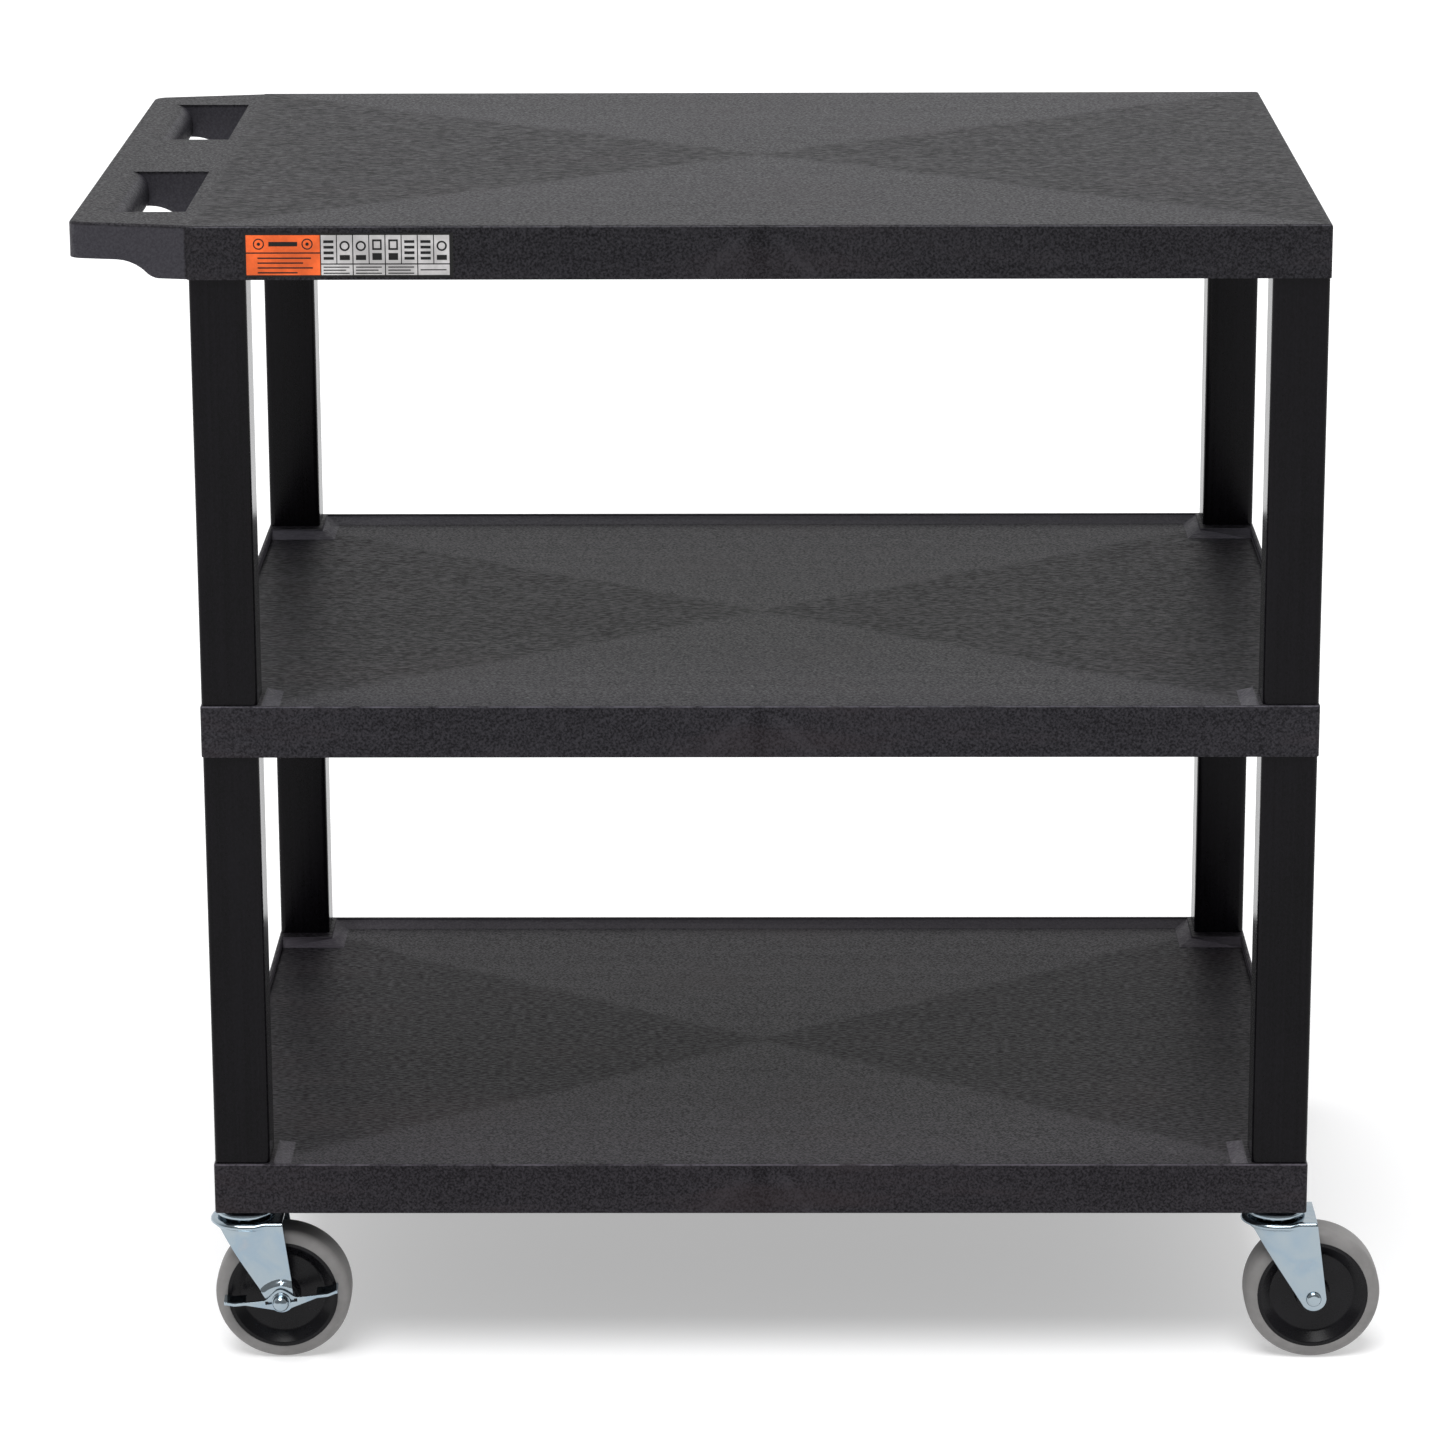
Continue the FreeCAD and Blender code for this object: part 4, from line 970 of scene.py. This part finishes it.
    def _tangent(self, axle: Vector, corner: tuple[float, float], side: int) -> float:
        """Return the angle about the axle where a line from a corner touches the leg's round end.

        Args:
            axle: The axle, from the swivel.
            corner: The X and Z of the corner.
            side: 1 or -1 for the two tangents.

        Returns:
            The angle in radians.
        """
        run, rise = corner[0] - axle.x, corner[1] - axle.z
        return math.atan2(rise, run) + side * math.acos(self.end_radius / math.hypot(run, rise))

    def _press_ring(self, part: Workpiece, top: float) -> None:
        """Swell the crown's edge round the raceway, and let it dip ahead of the flat plate.

        Args:
            part: The fork.
            top: The crown's level.
        """
        for spot in part.mesh.verts:
            x, y, z = spot.co
            ahead = ease(x, 17.0, 8.0)
            outward = Vector((x, y, 0)).normalized() if x < 0 else Vector((0, math.copysign(1, y), 0))
            near_edge = ease(abs(y) if x > 0 else math.hypot(x, y), 14.0, 22.0)
            band = ease(z, top - 7.2, top - 3.6)
            spot.co += outward * self.ring_swell * ahead * near_edge * band
            spot.co.z -= self.ring_dip * ahead * near_edge * ease(z, top - 6.0, top - 1.0)

    def _press_cam(self, part: Workpiece, axle: Vector) -> None:
        """Push out the ridge that the pedal's hump climbs, on the outside leg.

        Args:
            part: The fork.
            axle: The axle, from the swivel.
        """
        for spot in part.mesh.verts:
            if spot.co.y > -self.half_width + 1:
                continue
            x, z = spot.co.x - axle.x, spot.co.z - axle.z
            arch = 15.6 - 0.03 * x ** 2
            spot.co.y -= self.cam_height * ease(z, arch, arch - 4.0) * ease(abs(x), 19.0, 13.0)

    def core(self) -> None:
        """Spin the hard core: rim, dished wall, flat disc and hub."""
        part = self.start("wheel_core", self.axle)
        core, rim, disc, hub = self.core_radius, self.rim_half, self.disc_half, self.hub_half
        half = [(core, rim), (core - 2.7, rim), (self.disc_radius, disc), (13.0, disc), (12.4, hub),
                (8.0, hub)]
        corners = [(radius, y, 0) for radius, y in half]
        corners += [(radius, -y, 0) for radius, y in reversed(half)]
        count = len(half)
        rounds = {1: 0.5, 2: 1.1, 3: 1.2, 4: 0.8}
        rounds.update({2 * count - 1 - number: radius for number, radius in list(rounds.items())})
        section = part.line(corners, rounds, closed=True)
        part.spin(section, (0, 1, 0), 96)
        part.join_up()
        part.finish(f"wheel_{self.corner}", f"wheel_core_{self.corner}", "core_plastic", [CORE])

    def tread(self) -> None:
        """Spin the soft tread with round shoulders and a fine step beside the core."""
        part = self.start("wheel_tread", self.axle)
        half, inner, outer = self.tread_half, self.core_radius, self.wheel_radius
        corners = [(inner, half - 0.3, 0), (inner + 0.5, half, 0), (outer - 0.35, half, 0), (outer, 0, 0),
                   (outer - 0.35, -half, 0), (inner + 0.5, -half, 0), (inner, 0.3 - half, 0)]
        section = part.line(corners, {1: 0.2, 2: 6.3, 4: 6.3, 5: 0.2}, closed=True)
        part.spin(section, (0, 1, 0), 128)
        part.join_up()
        part.finish(f"wheel_{self.corner}", f"wheel_tread_{self.corner}", "tread_rubber", [RUBBER])

    def bolt(self) -> None:
        """Spin the axle bolt with its domed head on the side away from the nut."""
        part = self.start("axle_bolt", self.axle)
        low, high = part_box(f"axle_bolt_{self.corner}")
        front, rear = (low.y - self.axle.y) / MM, (high.y - self.axle.y) / MM
        side = 1 if self.brake is Brake.ROCKER else -1
        head, end = (rear, front) if side > 0 else (front, rear)
        seat = side * self.half_width
        section = part.line([(0, head, 0), (5.8, head, 0), (5.8, seat, 0), (4.0, seat, 0), (4.0, end, 0),
                             (0, end, 0)], {1: 3.0, 2: 0.3, 4: 0.6})
        part.spin(section, (0, 1, 0), 40)
        part.join_up()
        part.finish(f"swivel_{self.corner}", f"axle_bolt_{self.corner}", "zinc_steel", [ZINC])

    def nut(self) -> None:
        """Make the axle's nut: a domed cap nut over a pedal, or a plain hexagon."""
        part = self.start("axle_nut", self.axle)
        low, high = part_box(f"axle_nut_{self.corner}")
        front, rear = (low.y - self.axle.y) / MM, (high.y - self.axle.y) / MM
        if self.brake is Brake.ROCKER:
            section = part.line([(0, front, 0), (6.2, front, 0), (6.2, rear - 1.2, 0), (7.0, rear - 1.0, 0),
                                 (7.0, rear, 0), (0, rear, 0)], {1: 5.2, 3: 0.3, 4: 0.3})
            part.spin(section, (0, 1, 0), 48)
        else:
            place = Matrix.Translation((0, front, 0)) @ Matrix.Rotation(math.pi / 2, 4, "X")
            made = bmesh.ops.create_circle(part.mesh, cap_ends=True, segments=6, radius=7.4, matrix=place)
            face = made["verts"][0].link_faces[0]
            grown = bmesh.ops.extrude_face_region(part.mesh, geom=[face])["geom"]
            spots = [item for item in grown if isinstance(item, bmesh.types.BMVert)]
            bmesh.ops.translate(part.mesh, vec=(0, rear - front, 0), verts=spots)
            part.soften(0.7, 50.0, 3)
        part.join_up()
        part.finish(f"swivel_{self.corner}", f"axle_nut_{self.corner}", "zinc_steel", [ZINC])

    def pedal(self) -> None:
        """Stamp the rocking pedal: a pointed face plate, a hump over the nut and two curled wings."""
        part = self.start("brake_pedal", self.axle)
        low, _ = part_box(f"brake_pedal_{self.corner}")
        front = (low.y - self.axle.y) / MM
        half, steps = self.pedal_half, 64
        xs = [half * (2 * number / steps - 1) for number in range(steps + 1)]
        upper = part.line([(x, front, self._pedal_top(x)) for x in xs])
        lower = part.line([(x, front, self._pedal_foot(x)) for x in xs])
        bmesh.ops.bridge_loops(part.mesh, edges=upper + lower)
        for level in (-1.3, 1.3):
            part.cut((0, front, level), (0, 0, 1), clear=False)
        part.drop(lambda face: self._in_slot(face.calc_center_median()))
        wings = [edge for edge in upper if edge.is_valid
                 and min(abs(spot.co.x) for spot in edge.verts) > 26.0]
        ends = part.draw_out(wings, (0, 0.9, 0.35))
        ends = part.draw_out(ends, (0, 1.6, 0.15))
        part.draw_out(ends, (0, 2.4, 0.35), 4)
        part.join_up()
        part.thicken(self.pedal_sheet)
        part.soften(0.6, 50.0, 3)
        part.turn(-self.pedal_tilt)
        part.finish(f"brake_{self.corner}", f"brake_pedal_{self.corner}", "zinc_steel", [ZINC], 40.0)

    @staticmethod
    def _pedal_top(x: float) -> float:
        """Return the height of the face plate's upper edge."""
        hump = 7.4 * (0.5 + 0.5 * math.cos(math.pi * min(abs(x) / 13.5, 1.0)))
        return 1.9 + hump + 1.9 * ease(abs(x), 34.0, 42.8)

    @classmethod
    def _pedal_foot(cls, x: float) -> float:
        """Return the height of the face plate's lower edge, which comes to a blunt point."""
        point = -7.4 + 0.285 * max(abs(x) - 1.5, 0.0)
        return min(point, cls._pedal_top(x) - 2.0)

    @staticmethod
    def _in_slot(middle: Vector) -> bool:
        """Say whether a face of the plate lies in the slot that clears the cam."""
        return abs(middle.z) < 1.3 and abs(middle.x) < 12.0


def make_casters() -> None:
    """Make the fine pieces of all four casters where the joints are."""
    joints = {joint["name"]: joint for joint in frame["joints"]}
    for name in sorted(joints):
        if not name.startswith("swivel_"):
            continue
        corner = name.removeprefix("swivel_").removesuffix("_turn")
        brake = Brake.ROCKER if f"brake_{corner}_rock" in joints else Brake.NONE
        wheel = joints[f"wheel_{corner}_spin"]
        Caster(corner, brake, Vector(joints[name]["pos_m"]), Vector(wheel["pos_m"])).build()


# ---------------------------------------------------------------- label

@dataclass
class FrontLabel:
    """A printed film on the top skirt: an orange panel and four silver ones with plain shapes."""

    border: float = 1.5
    orange_end: float = 54.0
    silver_width: float = 22.2
    silver_gap: float = 0.75
    print_layer: float = 0.05

    def build(self) -> None:
        """Lay the film and its printed layers."""
        low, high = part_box("front_label")
        self.part = Workpiece("front_label.print", low)
        self.width, self.height = (high.x - low.x) / MM, (high.z - low.z) / MM
        self.part.slab((0, 0, 0), (self.width, (high.y - low.y) / MM, self.height), 0)
        self._orange()
        for number in range(4):
            self._silver(number)
        self.part.finish("cart", "front_label", "label_film", [FILM, ORANGE_INK, SILVER_INK])

    def patch(self, x0: float, z0: float, x1: float, z1: float, ink: int, layer: int = 1) -> None:
        """Print a patch, measured from the film's left lower corner."""
        depth = self.print_layer * layer
        self.part.slab((x0, -depth, z0), (x1, -depth + self.print_layer, z1), ink)

    def disc(self, x: float, z: float, radius: float, ink: int, layer: int = 2) -> None:
        """Print a round patch.

        Args:
            x: The centre along X.
            z: The centre along Z.
            radius: The radius.
            ink: The ink's number.
            layer: The printed layer that it lies in.
        """
        depth = self.print_layer * layer
        spot = Matrix.Translation((x, -depth + self.print_layer / 2, z))
        place = spot @ Matrix.Rotation(math.pi / 2, 4, "X")
        made = bmesh.ops.create_cone(self.part.mesh, cap_ends=True, segments=24, radius1=radius,
                                     radius2=radius, depth=self.print_layer, matrix=place)
        for face in {face for spot in made["verts"] for face in spot.link_faces}:
            face.material_index = ink

    def _orange(self) -> None:
        """Print the orange panel: a heading bar between two discs, over four rows."""
        left, right = self.border, self.orange_end
        split = self.height - 14.3
        self.patch(left, split + 0.5, right, self.height - self.border, 1)
        self.patch(left, self.border, right, split - 0.5, 1)
        middle = (split + self.height - self.border) / 2
        for x in (left + 9.0, right - 9.0):
            self.disc(x, middle, 4.0, 0)
            self.disc(x, middle, 3.1, 1, 3)
            self.disc(x, middle, 1.2, 0, 4)
        self.patch(left + 16.0, middle - 1.6, right - 16.0, middle + 1.6, 0, 2)
        for row, share in enumerate((0.94, 0.80, 0.97, 0.70)):
            level = split - 3.2 - 3.5 * row
            self.patch(left + 8.0, level - 1.0, left + 8.0 + (right - left - 12.0) * share, level, 0, 2)

    def _silver(self, number: int) -> None:
        """Print one silver panel: two cells of plain shapes over a cell of short rows.

        Args:
            number: The panel's number from the left.
        """
        left = self.orange_end + self.silver_gap + number * (self.silver_width + self.silver_gap)
        right = min(left + self.silver_width, self.width - self.border)
        floor = self.border + 8.4
        middle = (left + right) / 2
        self.patch(left, self.border, right, floor - 0.9, 2)
        for cell, (start, stop) in enumerate(((left, middle - 0.35), (middle + 0.35, right))):
            self.patch(start, floor, stop, self.height - self.border, 2)
            self._shapes((start + stop) / 2, floor, (number + cell) % 3)
        rows = 1 if number == 3 else 3
        for row in range(rows):
            level = self.border + 6.1 - 2.2 * row - (2.0 if rows == 1 else 0.0)
            self.patch(left + 1.6, level - 0.8, right - 2.2 - 2.4 * (row % 2), level, 0, 2)

    def _shapes(self, centre: float, floor: float, kind: int) -> None:
        """Print a cell's plain shapes: stacked bars, a ring over a bar, or two blocks.

        Args:
            centre: The cell's middle.
            floor: The cell's lower edge.
            kind: Which of three sets is printed.
        """
        if kind == 0:
            for row in range(4):
                level = floor + 2.6 + 4.0 * row
                self.patch(centre - 3.6, level, centre + 3.6, level + 2.0, 0, 2)
        elif kind == 1:
            self.disc(centre, floor + 12.5, 3.7, 0)
            self.disc(centre, floor + 12.5, 2.4, 2, 3)
            self.patch(centre - 3.6, floor + 2.4, centre + 3.6, floor + 6.0, 0, 2)
        else:
            self.patch(centre - 3.4, floor + 9.6, centre + 3.4, floor + 17.2, 0, 2)
            self.patch(centre - 2.2, floor + 11.0, centre + 2.2, floor + 15.8, 2, 3)
            self.patch(centre - 3.4, floor + 2.4, centre + 3.4, floor + 7.4, 0, 2)


# ---------------------------------------------------------------- studio

@dataclass
class Studio:
    """A pale floor, a soft sky with a darker front and a wide overhead light."""

    floor_size: float = 60.0
    floor_colour: Colour = (0.66, 0.66, 0.665)
    floor_glow: float = 0.40
    front_level: float = 0.30
    back_level: float = 1.0
    overhead: float = 2.6
    overhead_angle: float = math.radians(36)
    overhead_turn: Point = (math.radians(22), math.radians(-6), 0)

    def build(self) -> None:
        """Make the floor, the sky and the lights."""
        bpy.context.scene.view_settings.view_transform = "Standard"
        self._floor()
        self._sky()
        self._light()

    def _floor(self) -> None:
        """Lay a wide pale floor."""
        mesh = bpy.data.meshes.new("floor")
        made = bmesh.new()
        bmesh.ops.create_grid(made, x_segments=2, y_segments=2, size=self.floor_size / 2)
        made.to_mesh(mesh)
        made.free()
        floor = bpy.data.objects.new("floor", mesh)
        bpy.context.scene.collection.objects.link(floor)
        floor_finish = bpy.data.materials.new("floor_paper")
        floor_finish.use_nodes = True
        shader = Shader(floor_finish.node_tree)
        shader.surface({"Base Color": (*self.floor_colour, 1.0), "Roughness": 0.9,
                        "Specular IOR Level": 0.0, "Emission Color": (1.0, 1.0, 1.0, 1.0),
                        "Emission Strength": self.floor_glow})
        mesh.materials.append(floor_finish)

    def _sky(self) -> None:
        """Make a plain sky that is bright behind and above, and dimmer in front."""
        world = bpy.data.worlds.new("studio")
        bpy.context.scene.world = world
        world.use_nodes = True
        shader = Shader(world.node_tree)
        direction = shader.node("ShaderNodeTexCoord", output="Generated")
        _, depth, _ = shader.axes(direction)
        level = depth.ramp(-0.35, 0.45) * (self.back_level - self.front_level) + self.front_level
        sky = shader.node("ShaderNodeBackground", None, {0: (1.0, 1.0, 1.0, 1.0), 1: level})
        shader.node("ShaderNodeOutputWorld", None, {0: sky})

    def _light(self) -> None:
        """Hang a wide soft light overhead."""
        lamp = bpy.data.lights.new("overhead", "SUN")
        lamp.energy = self.overhead
        lamp.angle = self.overhead_angle
        light = bpy.data.objects.new("overhead", lamp)
        light.rotation_euler = self.overhead_turn
        bpy.context.scene.collection.objects.link(light)


@dataclass
class Camera:
    """A long lens at the front, a little above the cart."""

    place: Vector = field(default_factory=lambda: Vector((0.02297, -4.07455, 1.54406)))
    yaw: float = -0.0095008
    pitch: float = 0.2704978
    roll: float = -0.0034910
    lens: float = 134.302

    def build(self) -> None:
        """Make the camera and the scene use it."""
        forward = Vector((math.sin(self.yaw) * math.cos(self.pitch),
                          math.cos(self.yaw) * math.cos(self.pitch), -math.sin(self.pitch)))
        level = Vector((math.cos(self.yaw), -math.sin(self.yaw), 0.0))
        upright = level.cross(forward)
        right = math.cos(self.roll) * level + math.sin(self.roll) * upright
        up = math.cos(self.roll) * upright - math.sin(self.roll) * level
        data = bpy.data.cameras.new("camera")
        data.lens = self.lens
        data.sensor_width = 36.0
        data.clip_end = 100.0
        camera = bpy.data.objects.new("camera", data)
        turn = Matrix((right, up, -forward)).transposed().to_4x4()
        camera.matrix_world = Matrix.Translation(self.place) @ turn
        bpy.context.scene.collection.objects.link(camera)
        bpy.context.scene.camera = camera


def main() -> None:
    """Set up camera and studio, dress the frame and make the fine pieces."""
    logging.basicConfig(level=logging.INFO, format="%(message)s")
    Camera().build()
    Studio().build()
    dress_nodes()
    for node in ("middle_shelf", "bottom_shelf"):
        Tray(node).build()
    make_casters()
    FrontLabel().build()


if __name__ == "__main__":
    main()
